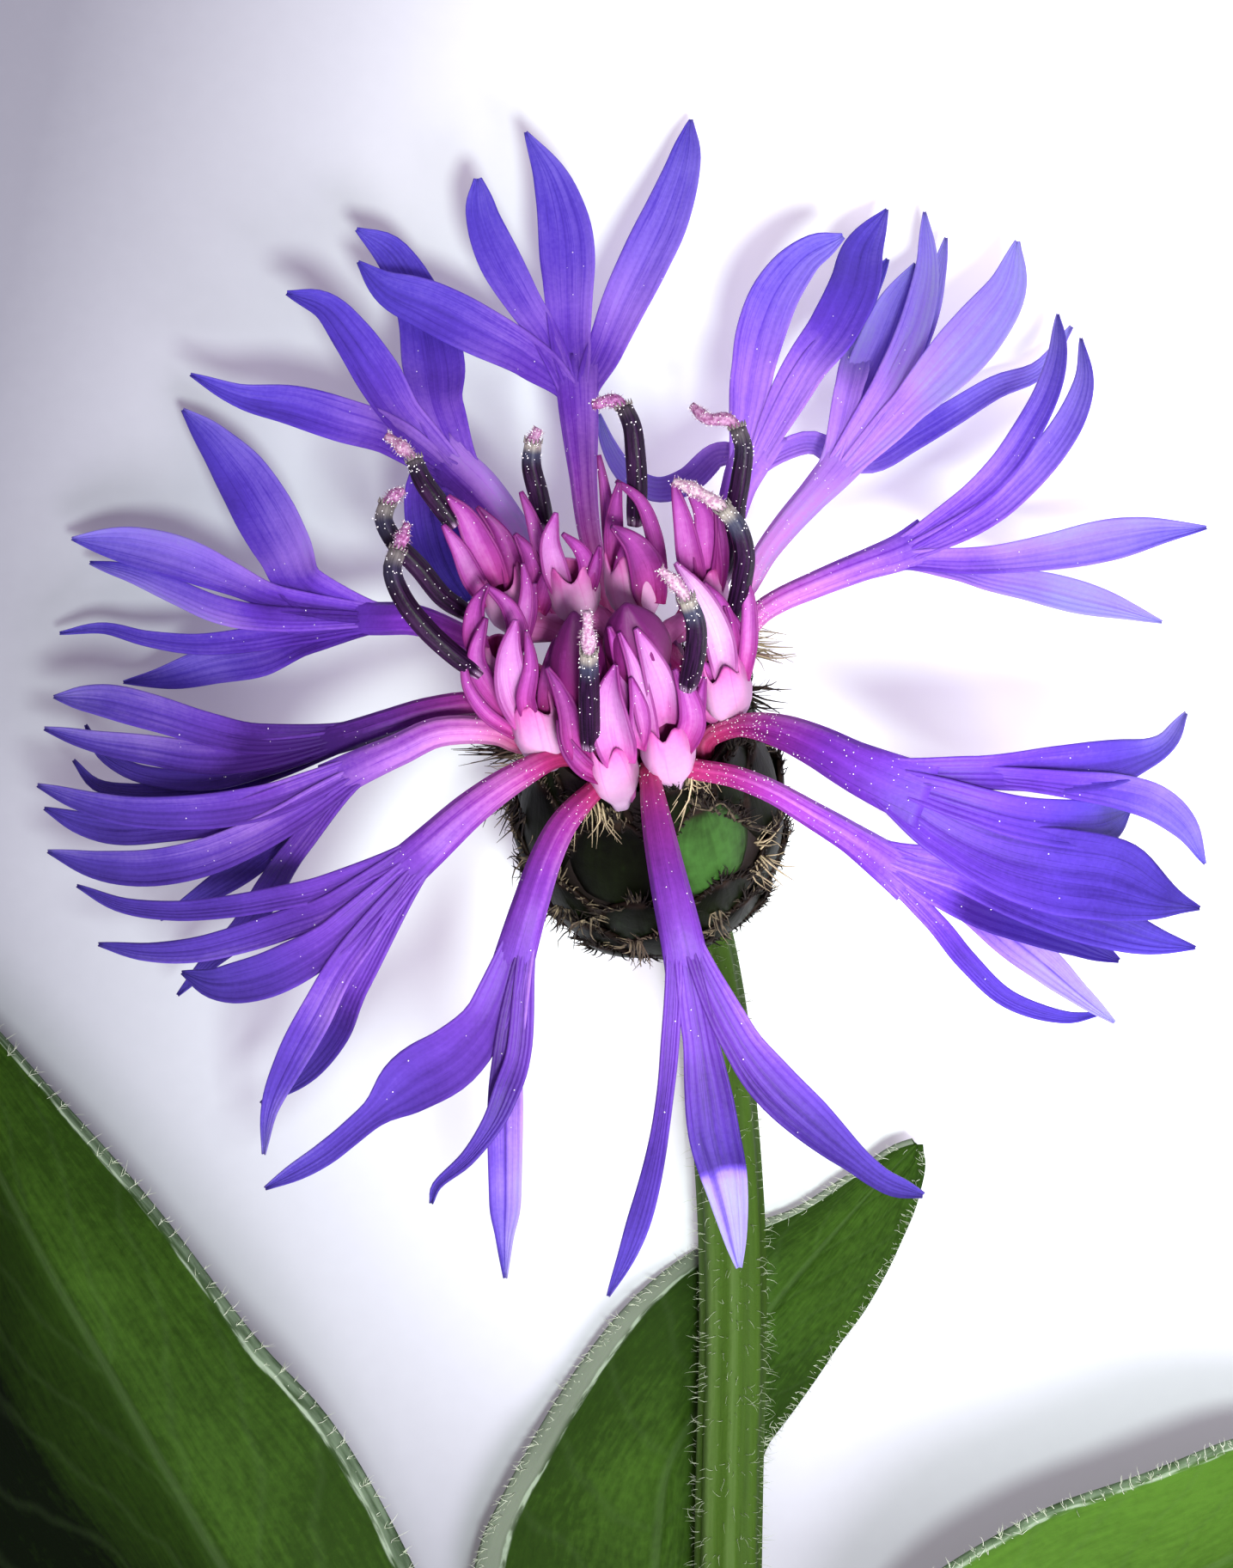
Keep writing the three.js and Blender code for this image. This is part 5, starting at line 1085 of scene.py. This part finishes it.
# The bell's profile: height, girth and rise into the claws of its lobes. Past its rim it is inside.
BELL_PROFILE = [
    (-1.7, 0.36, 0), (-1.3, 0.46, 0), (-0.95, 0.68, 0), (-0.55, 0.93, 0), (-0.1, 1.02, 0.02),
    (0.35, 1.0, 0.15), (0.7, 0.95, 0.5), (0.9, 0.9, 0.9), (1.0, 0.84, 1), (0.9, 0.76, 0.9), (0.6, 0.66, 0.4),
    (0.1, 0.5, 0), (-0.4, 0.36, 0), (-0.7, 0.12, 0),
]
BELL_RIM = 8
BELL_SIDES = 36
BELL_CLAW = 0.75
CLAW_SPREAD = 0.5
DISC_LOBE_SHARES = [0.66, 0.86, 0.97, 1, 0.93, 0.8, 0.6, 0.36, 0.06]
DISC_LOBE_WIDTH = 0.78
DISC_LOBE_GRAINS = 6
DISC_STEPS = 22
DISC_COLUMNS = np.linspace(-1, 1, 13)
STALK_STEPS = 8
STALK_SIDES = 15
BUD_SHARES = [0.45, 0.62, 0.85, 0.98, 1, 0.93, 0.76, 0.48, 0.1]
BUD_STEPS = 20
BUD_SIDES = 25
INNER_BUDS = 14
GOLDEN_TURN = 137.5
CORE_SIDES = 30
CORE_STEPS = 22


def bell(shape, centre, axis, radius, lobes, seed):
    """The swollen throat of a disc floret, on the end of its tube; its rim rises into each lobe."""
    first = unit(np.cross(axis, ACROSS))
    second = np.cross(axis, first)
    turn = 2 * np.pi * np.arange(BELL_SIDES) / BELL_SIDES
    claw = np.zeros(BELL_SIDES)
    for lobe in lobes:
        away = spot(*lobe.line[-2], sum(lobe.heights) / 2) - centre
        apart = np.angle(np.exp(1j * (turn - math.atan2(away @ second, away @ first))))
        claw = np.maximum(claw, np.exp(-((apart / CLAW_SPREAD) ** 2)))
    spokes = np.cos(turn)[:, None] * first + np.sin(turn)[:, None] * second
    rings, along, tone = [], [], []
    for k, (height, girth, rise) in enumerate(BELL_PROFILE):
        lobing = 1 + 0.05 * np.cos(5 * turn) - 0.14 * rise * claw
        up = (height + BELL_CLAW * rise * claw) * radius
        rings.append(centre + up[:, None] * axis + girth * radius * lobing[:, None] * spokes)
        # Inside the bell, past its rim, the tone is low: painted shade.
        inner = k > BELL_RIM
        along.append(0.45 + 0 * claw if inner else 0.035 * k + 0.2 * rise * claw)
        tone.append(0.2 + 0 * claw if inner else 1.0 - 0.04 * k - 0.2 * rise * claw)
    shape.loft(np.array(rings), painted(np.array(along), turn / (2 * np.pi), np.array(tone), seed))


def disc_lobe(shape, lobe, seed, pollen):
    """A narrow, deeply cupped lobe of a disc floret, with a few grains of pollen."""
    tip, root = lobe.heights
    places = zip(np.linspace(0, 1, len(lobe.line)), reversed(lobe.line))
    line = smooth_line([spot(u, v, root + (tip - root) * s ** 0.85) for s, (u, v) in places], DISC_STEPS)
    share = np.linspace(0, 1, DISC_STEPS)
    width = DISC_LOBE_WIDTH * lobe.width * PLAN_UNIT * np.maximum(blend(DISC_LOBE_SHARES, share), 0.05)
    share = share[:, None]
    t = DISC_COLUMNS[None, :]
    ripple = 0.07 * np.sin(11 * share + 9 * seed + 1.5 * t)
    roll = (seed - 0.5) * 1.3 * share ** 1.5
    top, face = petal_top(line, width, t, 0.75 - 0.35 * share, 1.8, ripple, roll=roll)
    tone = lobe.tone + 0.18 * (0.6 - t * t) - 0.25 * smooth_step(share, 0.75, 1)
    tone = tone - 0.22 * (1 - smooth_step(share, 0, 0.3))
    shell(shape, top, DISC_PETAL_THICK, painted(0.5 + 0.5 * share, (t + 1) / 2, tone, seed))
    normals = np.repeat(face, len(DISC_COLUMNS), axis=0)
    dust(pollen, top.reshape(-1, 3), normals, DISC_LOBE_GRAINS, 0.03, 0.95)


def disc_floret(shape, floret, seed, pollen):
    """An open disc floret: its stalk from the cup, its bell and its lobes."""
    centre = spot(*floret.bell)
    tips = np.array([spot(*lobe.line[0], lobe.heights[0]) for lobe in floret.lobes])
    axis = unit(tips.mean(0) - centre)
    bell(shape, centre, axis, floret.radius, floret.lobes, seed)
    foot = MOUTH + HEAD_AXIS * max((centre - MOUTH) @ HEAD_AXIS - 2.5, -0.5)
    stalk = smooth_line([foot, (foot + centre) / 2, centre - axis * floret.radius * 1.2], STALK_STEPS)
    girth = np.interp(np.linspace(0, 1, STALK_STEPS), [0, 0.45, 1], [1.0, 1.35, 1.3 * floret.radius])
    rings, turn = rod_rings(stalk, girth, girth, STALK_SIDES, 5, 0.06, reference=ACROSS)
    shape.loft(rings, painted(0.3, turn / (2 * np.pi), 0.45 + 0 * stalk[:, :1], seed))
    for k, lobe in enumerate(floret.lobes, 1):
        disc_lobe(shape, lobe, (seed + 0.19 * k) % 1, pollen)


def turned_rings(profile, sides, steps):
    """Rings round the head's axis through a profile of radius and height."""
    radius, height = zip(*profile)
    share = np.linspace(0, 1, steps)
    angle = 360 * np.arange(sides) / sides
    radius = np.maximum(straight(radius, share), 0.01)
    rings = about_head(angle[None], radius[:, None], straight(height, share)[:, None])
    return rings, share, angle


def closed_bud(shape, foot, tip, width, tone, seed):
    """An unopened corolla: a ribbed club with its five lobes folded over its top."""
    line = smooth_line([foot, (foot + tip) / 2, tip], BUD_STEPS)
    share = np.linspace(0, 1, BUD_STEPS)
    girth = width * blend(BUD_SHARES, share)
    rings, turn = rod_rings(line, girth, girth, BUD_SIDES, 5, 0.07, reference=ACROSS)
    # Painted shade: the bud is darker in the five grooves between its folded lobes.
    shade = tone - 0.3 * (np.cos(5 * turn) < -0.75)
    shape.loft(rings, painted(0.45 + 0.5 * share[:, None], turn / (2 * np.pi), shade, seed))


def disc_florets(petal, pollen):
    """The open disc florets, one piece each, and the closed buds among them on their core."""
    for number, floret in enumerate(DISC_FLORETS, 1):
        shape = Shape()
        disc_floret(shape, floret, (0.31 * number) % 1, pollen)
        shape.piece(f"disc_floret_{number}", petal, "disc_petals", "disc_corollas")
    shape = Shape()
    for number, (foot, tip, width) in enumerate(CLOSED_BUDS):
        closed_bud(shape, spot(*foot), spot(*tip), width, 0.0, 0.37 + 0.2 * number)
    for number in range(INNER_BUDS):
        angle = GOLDEN_TURN * number
        reach = 2.6 * math.sqrt((number + 1) / (INNER_BUDS + 1))
        foot = about_head(angle, reach, -0.3)
        tip = about_head(angle, reach * 1.25, 6.6 - 0.55 * reach)
        closed_bud(shape, foot, tip, 1.5, 0.12 + 0.15 * RANDOM.random(), RANDOM.random())
    rings, share, angle = turned_rings(CORE_PROFILE, CORE_SIDES, CORE_STEPS)
    shape.loft(rings, painted(0.3 + 0.1 * share[:, None], angle / 90, 0.1, 0.7))
    shape.piece("disc_buds", petal, "disc_petals", "disc_corollas")


# ---------------------------------------------------------------- anther columns

ANTHER_STEPS = 30
ANTHER_SIDES = 25
ANTHER_SHARES = [0.8, 0.96, 1, 1, 1, 0.98, 0.94, 0.88, 0.8]
STYLE_STEPS = 24
STYLE_SIDES = 12
STYLE_START = 8
STYLE_HAIRS = 120


def anther_column(number, column, anther, style, pollen):
    """A curved tube of fused anthers with a fringed mouth, and the fuzzy style that stands out of it."""
    node = f"anther_column_{number}"
    line = smooth_line(spots(column.line), ANTHER_STEPS)
    share = np.linspace(0, 1, ANTHER_STEPS)
    width = ANTHER_WIDTH * blend(ANTHER_SHARES, share)
    rings, turn = rod_rings(line, width, width, ANTHER_SIDES, 5, 0.07)
    shape = Shape()
    shape.loft(rings, painted(share[:, None], turn / np.pi, column.cap, 0.1 * number))
    ahead = unit(line[-1] - line[-2])
    for mouth in rings[-1, ::2]:
        tip = mouth + 0.3 * ahead + 0.12 * (mouth - line[-1])
        strand(shape, [mouth, (mouth + tip) / 2, tip], 0.16, 0.7, along=0.98)
    shape.piece(f"anther_tube_{number}", anther, "anthers", node)
    upper = np.sin(turn) > 0.1
    dust_rings(pollen, rings, line, upper, 30, 0.03, 0.95)
    dust_rings(pollen, rings[-6:], line[-6:], upper, 14, 0.04, 0.75)

    line = smooth_line(spots(column.line[-2:] + column.style), STYLE_STEPS)
    share = np.linspace(0, 1, STYLE_STEPS)
    width = np.interp(share, [0, 0.5, 0.7, 1], [0.6, 0.66, 0.72, 0.42])
    width = width * (1 + 0.12 * np.sin(17 * share + number))
    rings, turn = rod_rings(line, width, width, STYLE_SIDES)
    shape = Shape()
    shape.loft(rings, painted(share[:, None], turn / np.pi, column.cream, 0.1 * number))
    for _ in range(STYLE_HAIRS):
        place, spoke = RANDOM.integers(STYLE_START, STYLE_STEPS), RANDOM.integers(0, STYLE_SIDES)
        root = rings[place, spoke]
        out = unit(root - line[place]) * RANDOM.uniform(0.08, 0.2) + RANDOM.normal(0, 0.04, 3)
        strand(shape, [root - out * 0.2, root + out * 0.5, root + out], 0.05, column.cream + 0.3, steps=2)
    shape.piece(f"style_{number}", style, "anthers", node)
    dust_rings(pollen, rings[STYLE_START:], line[STYLE_START:], turn >= 0, 70, 0.035, 0.9)


# ---------------------------------------------------------------- involucre

PROFILE_LINE = smooth_line([(radius, 0, height) for radius, height in URN_PROFILE], 90)
OUTSIDE_LENGTH = line_length(PROFILE_LINE)
URN_INSIDE = [(5.4, 0), (5.05, -0.4), (4.9, -2.3), (0, -2.3)]
URN_SIDES = 48
URN_STEPS = 60
BRACT_SHARES = [0.7, 0.86, 0.97, 1, 0.97, 0.86, 0.68, 0.42, 0.1]
BRACT_ROWS_ALONG = 16
BRACT_COLUMNS = np.linspace(-1, 1, 15)
BRACT_LIFT = 0.6
BRISTLES = 46
BRISTLE_GIRTH = 7.0


def on_urn(angle, distance, lift):
    """Places over the urn's outside: an angle, a distance from the foot along the profile, and a lift."""
    share = np.asarray(distance, float) / OUTSIDE_LENGTH
    inside = np.clip(share, 0, 1)
    slope = unit(np.gradient(PROFILE_LINE, axis=0))
    out, rise = straight(slope[:, 0], inside), straight(slope[:, 2], inside)
    beyond = np.maximum(0, share - 1) * OUTSIDE_LENGTH
    radius = straight(PROFILE_LINE[:, 0], inside) + rise * lift + out * beyond * 0.3
    height = straight(PROFILE_LINE[:, 2], inside) - out * lift + rise * beyond
    return about_head(angle, radius, height)


def bract_point(angle, start, length, width, across, along, lift):
    """A place on a bract: across from -1 to 1 between its edges and along from 0 to 1."""
    distance = start + along * length
    girth = np.maximum(straight(PROFILE_LINE[:, 0], np.clip(distance / OUTSIDE_LENGTH, 0, 1)), 2)
    turn = np.degrees(across * (width / 2 * blend(BRACT_SHARES, along)) / girth)
    return on_urn(angle + turn, distance, lift)


def bract_lift(across, along):
    """How high a bract stands over the urn: more towards its tip and less at its edges."""
    return BRACT_LIFT * (0.35 + 0.65 * along) - 0.28 * across * across


def bract(shape, fringe, angle, start, length, width, tone, seed):
    """A bract and the comb of dry bristles round its outer end."""
    t = BRACT_COLUMNS[None, :]
    s = np.linspace(0, 1, BRACT_ROWS_ALONG)[:, None]
    top = bract_point(angle, start, length, width, t, s, bract_lift(t, s) + 0.12 * s * s)
    shell(shape, top, BRACT_THICK, painted(s, (t + 1) / 2, tone, seed))
    dark = RANDOM.uniform(0.2, 0.45) if RANDOM.random() < 0.1 else RANDOM.uniform(-0.3, 0.05)
    for k in range(BRISTLES):
        place = (k + RANDOM.random()) / BRISTLES * 2 - 1
        out, way = abs(place), np.sign(place)
        along = 1 - 0.62 * out ** 1.5
        across = way * min(1, (out * 1.3) ** 0.6)
        long = RANDOM.uniform(0.4, 1.5) * (1.1 - 0.5 * out)
        lift = bract_lift(across, along)
        root = bract_point(angle, start, length, width, across * 0.96, min(along, 0.99), lift)
        tip_along = along + long * (1 - 0.75 * out) / length
        reach = across + way * long * out ** 0.7 / (width / 2) + RANDOM.normal(0, 0.1)
        turn = np.degrees(reach * width / 2 * blend(BRACT_SHARES, min(along, 0.9)) / BRISTLE_GIRTH)
        tip = on_urn(angle + turn, start + tip_along * length, lift + RANDOM.uniform(-0.15, 0.6))
        middle = (root + tip) / 2 + RANDOM.normal(0, 0.1, 3)
        strand(fringe, [root, middle, tip], 0.17, dark + RANDOM.uniform(-0.1, 0.15), seed)


def scraps(fringe):
    """Dry papery shreds of bract tips and tufts of dark bristles, each tuft fanned out from its root."""
    for *ends, wide, count, tone in SCRAPS:
        root, tip = spot(*ends[:3]), spot(*ends[3:])
        side = unit(np.cross(tip - root, UP)) * wide * PLAN_UNIT
        for _ in range(count):
            place = RANDOM.uniform(-0.5, 0.5)
            start = root + side * place
            end = start + (tip - root) * RANDOM.uniform(0.3, 1.1)
            end = end + side * (0.8 * place + RANDOM.normal(0, 0.35)) + UP * RANDOM.uniform(-0.3, 0.4)
            bend = (start + end) / 2 + RANDOM.normal(0, 0.24, 3)
            width = RANDOM.uniform(0.09, 0.26)
            strand(fringe, [start, bend, end], width, tone + RANDOM.normal(0, 0.12), steps=4)


def involucre(bract_green, dry_fringe_and_body_shade):
    """The urn, its rows of bracts, and their bristles and shreds."""
    shape, bracts, fringe = Shape(), Shape(), Shape()
    rings, share, angle = turned_rings(URN_PROFILE + URN_INSIDE, URN_SIDES, URN_STEPS)
    # The urn's body is painted near-black in the fringes' dark brown: painted shade in the gaps between its
    # bracts.
    shape.loft(rings, painted(share[:, None], angle / 360, -0.3, 0.3))
    shape.piece("involucre_body", dry_fringe_and_body_shade, "involucre", "involucre")
    for start, length, width, turn, tones in BRACT_ROWS:
        # Each bract's tone is painted light and shade.
        for k, tone in enumerate(tones):
            angle = turn + 360 * k / len(tones)
            bract(bracts, fringe, angle, start * OUTSIDE_LENGTH, length, width, tone, RANDOM.random())
    scraps(fringe)
    bracts.piece("involucre_bracts", bract_green, "involucre", "involucre")
    fringe.piece("involucre_fringes", dry_fringe_and_body_shade, "involucre", "involucre")


# ---------------------------------------------------------------- stem and leaves

STEM_STEPS = 190
STEM_SIDES = 48
STEM_RIBS = 8
STEM_RELIEF = 0.05
STEM_HAIRS = 2600
LEAF_STEPS = 110
LEAF_COLUMNS = 33
LEAF_VEINS = 11
LEAF_WAVES = 5
LEAF_WAVE_HEIGHT = 0.35
RIB_DEPTH = 0.25
LEAF_WOOL = 520
LOWEST_HAIR = 0.05


def stem(green, hair):
    """The ribbed stalk and the hairs that stand out of it."""
    line = smooth_line(spots(STEM_LINE), STEM_STEPS)
    share = np.linspace(0, 1, STEM_STEPS)
    rings, turn = rod_rings(line, STEM_WIDTH, STEM_WIDTH, STEM_SIDES, STEM_RIBS, STEM_RELIEF)
    rings[..., 2] = np.maximum(rings[..., 2], 0.02)
    shape = Shape()
    tone = 0.5 + 0.1 * np.cos(STEM_RIBS * turn) + 0.14 * np.cos(turn)
    shape.loft(rings, painted(share[:, None], turn / (2 * np.pi), tone, 0.4))
    shape.piece("stem_skin", green, "stem", "stem")
    hairs = Shape()
    ahead = unit(np.gradient(line, axis=0))
    for _ in range(STEM_HAIRS):
        place, spoke = RANDOM.integers(4, STEM_STEPS), RANDOM.integers(0, STEM_SIDES)
        root = rings[place, spoke]
        out = unit(root - line[place])
        long = RANDOM.uniform(0.35, 0.95)
        lean = RANDOM.normal(0, 0.35) * ahead[place] + RANDOM.normal(0, 0.25, 3)
        tip = root + long * unit(out + lean)
        middle = root + long * 0.5 * unit(out + lean * 0.4)
        tip[2], middle[2] = max(tip[2], LOWEST_HAIR), max(middle[2], LOWEST_HAIR)
        strand(hairs, [root - 0.05 * out, middle, tip], 0.04, RANDOM.uniform(0.0, 0.6))
    hairs.piece("stem_hairs", hair, "stem", "stem")


def leaf_top(leaf):
    """A leaf's upper side with its folded part, its columns from 0 to 1 across, and its shares along."""
    left, rib, right = (smooth_line(spots(edge), LEAF_STEPS) for edge in (leaf.left, leaf.rib, leaf.right))
    share = np.linspace(0, 1, LEAF_STEPS)
    wave = LEAF_WAVE_HEIGHT * np.sin(np.pi * share) * np.sin(2 * np.pi * LEAF_WAVES * share)
    left[:, 2] += wave
    right[:, 2] -= wave
    half = LEAF_COLUMNS // 2
    inward = np.linspace(0, 1, half + 1)[None, :, None]
    first = left[:, None] + (rib - left)[:, None] * inward
    second = rib[:, None] + (right - rib)[:, None] * inward[:, 1:]
    top = np.concatenate([first, second], axis=1)
    across = np.linspace(0, 1, LEAF_COLUMNS)
    if leaf.under:
        under = smooth_line(spots(leaf.under), LEAF_STEPS)
        fold = under[:, None] + (left - under)[:, None] * inward[:, :-1]
        top = np.concatenate([fold, top], axis=1)
        across = np.concatenate([across[:half] - 0.5, across])
    share = share[:, None]
    out = np.abs(across - 0.5)[None]
    swell = np.sin(2 * np.pi * (LEAF_VEINS * share - 4.6 * out)) * np.sin(np.pi * 2 * out)
    arch = np.sin(np.pi * 2 * np.minimum(out, 0.5)) * np.sin(np.pi * share)
    top[..., 2] += 0.07 * swell + 0.3 * arch
    top[..., 2] -= RIB_DEPTH * np.exp(-((out / 0.02) ** 2)) * np.sin(np.pi * share)
    top[..., 2] = np.maximum(top[..., 2], LEAF_THICK + 0.06)
    return top, across, share


def make_leaf(name, leaf, green, hair):
    """A leaf blade, and the wool on its two margins."""
    top, across, share = leaf_top(leaf)
    tone = np.interp(across, [-0.5, -0.05, 0.05, 0.42, 0.58, 1], leaf.tones)
    reach = np.where(across < 0.5, *leaf.wool) * (across > -0.05)
    shape = Shape()
    shell(shape, top, LEAF_THICK, painted(share, across, tone, reach))
    shape.piece(f"{name}_blade", green, "leaves", name)
    hairs = Shape()
    for edge, inner in ((0, 1), (-1, -2)):
        for _ in range(LEAF_WOOL):
            place = RANDOM.integers(2, LEAF_STEPS - 1)
            outward = unit(top[place, edge] - top[place, inner])
            root = top[place, edge] + RANDOM.uniform(-0.6, 0.1) * outward
            long = RANDOM.uniform(0.3, 0.8)
            tip = root + long * unit(outward + RANDOM.normal(0, 0.45, 3) + 0.2 * UP)
            tip[2] = max(tip[2], LOWEST_HAIR + 0.01)
            middle = (root + tip) / 2 + RANDOM.normal(0, 0.05, 3)
            strand(hairs, [root, middle, tip], 0.05, RANDOM.uniform(0.3, 0.9))
    hairs.piece(f"{name}_wool", hair, "leaves", name)


# ---------------------------------------------------------------- stage

# Each lamp's place and aim in millimetres, its size, power and spread, and its colour.
KEY = (16, -28, 150), (24, 4, 0), 26, 0.09, 110, (1.0, 1.14, 0.98)
FILL = (60, -100, 150), (10, 0, 0), 90, 0.24, 160, (1.0, 0.94, 1.02)
SURROUND = 0.56
SURROUND_COLOUR = (1.0, 0.83, 1.06, 1)
FLOOR_REACH = 3.0
LENS = 56.06


def light(name, place, aim, size, power, spread, colour):
    """A round lamp at a place, with its aim and its size in millimetres and its spread in degrees."""
    lamp = bpy.data.lights.new(name, "AREA")
    lamp.shape = "DISK"
    lamp.size = size * MM
    lamp.energy = power
    lamp.spread = math.radians(spread)
    lamp.color = colour
    stand = bpy.data.objects.new(name, lamp)
    stand.location = np.array(place) * MM
    x, y, z = unit(np.subtract(place, aim))
    stand.rotation_euler = (math.acos(z), 0, math.atan2(x, -y))
    bpy.context.scene.collection.objects.link(stand)


def stage():
    """A pale floor with a painted glow and a painted falloff of light, a small key light and a wide fill
    light, a pale surround and the camera.
    """
    shape = bpy.data.meshes.new("floor")
    corners = [(x * FLOOR_REACH, y * FLOOR_REACH, 0) for x, y in ((-1, -1), (1, -1), (1, 1), (-1, 1))]
    shape.from_pydata(corners, [], [(0, 1, 2, 3)])
    shape.materials.append(floor_look())
    floor = bpy.data.objects.new("floor", shape)
    bpy.context.scene.collection.objects.link(floor)

    light("key", *KEY)
    light("fill", *FILL)

    world = bpy.data.worlds.new("surround")
    world.use_nodes = True
    background = world.node_tree.nodes["Background"]
    background.inputs["Color"].default_value = SURROUND_COLOUR
    background.inputs["Strength"].default_value = SURROUND
    bpy.context.scene.world = world

    lens = bpy.data.cameras.new("camera")
    lens.lens = LENS
    lens.sensor_width = 36
    lens.clip_start = 0.005
    camera = bpy.data.objects.new("camera", lens)
    camera.location = EYE * MM
    bpy.context.scene.collection.objects.link(camera)
    bpy.context.scene.camera = camera
    bpy.context.scene.view_settings.view_transform = "Standard"


# ---------------------------------------------------------------- flower


def flower():
    """Every piece of the flower, and the pollen that its parts share."""
    pollen = Shape()
    ray_florets(ray_petal_look("ray petal", 1.0), ray_petal_look("low ray petal", 0.78), pollen)
    disc_florets(disc_petal_look(), pollen)
    anther, style = anther_look(), style_look()
    for number, column in enumerate(ANTHER_COLUMNS, 1):
        anther_column(number, column, anther, style, pollen)
    cream = plain_look("pollen", (0.55, 0.42, 0.50), (0.92, 0.88, 0.92), 9000.0, 0.6)
    pollen.piece("pollen", cream, "anthers")
    dry_brown_and_body_shade = plain_look("dry fringe and body shade", (0.014, 0.009, 0.008), (0.52, 0.40, 0.26), 2400.0, 0.7)
    involucre(bract_look(), dry_brown_and_body_shade)
    hair = plain_look("hair", (0.30, 0.36, 0.22), (0.66, 0.70, 0.58), 3000.0, 0.7)
    stem(stem_look(), hair)
    green = leaf_look()
    for name, leaf in LEAVES.items():
        make_leaf(name, leaf, green, hair)


stage()
flower()
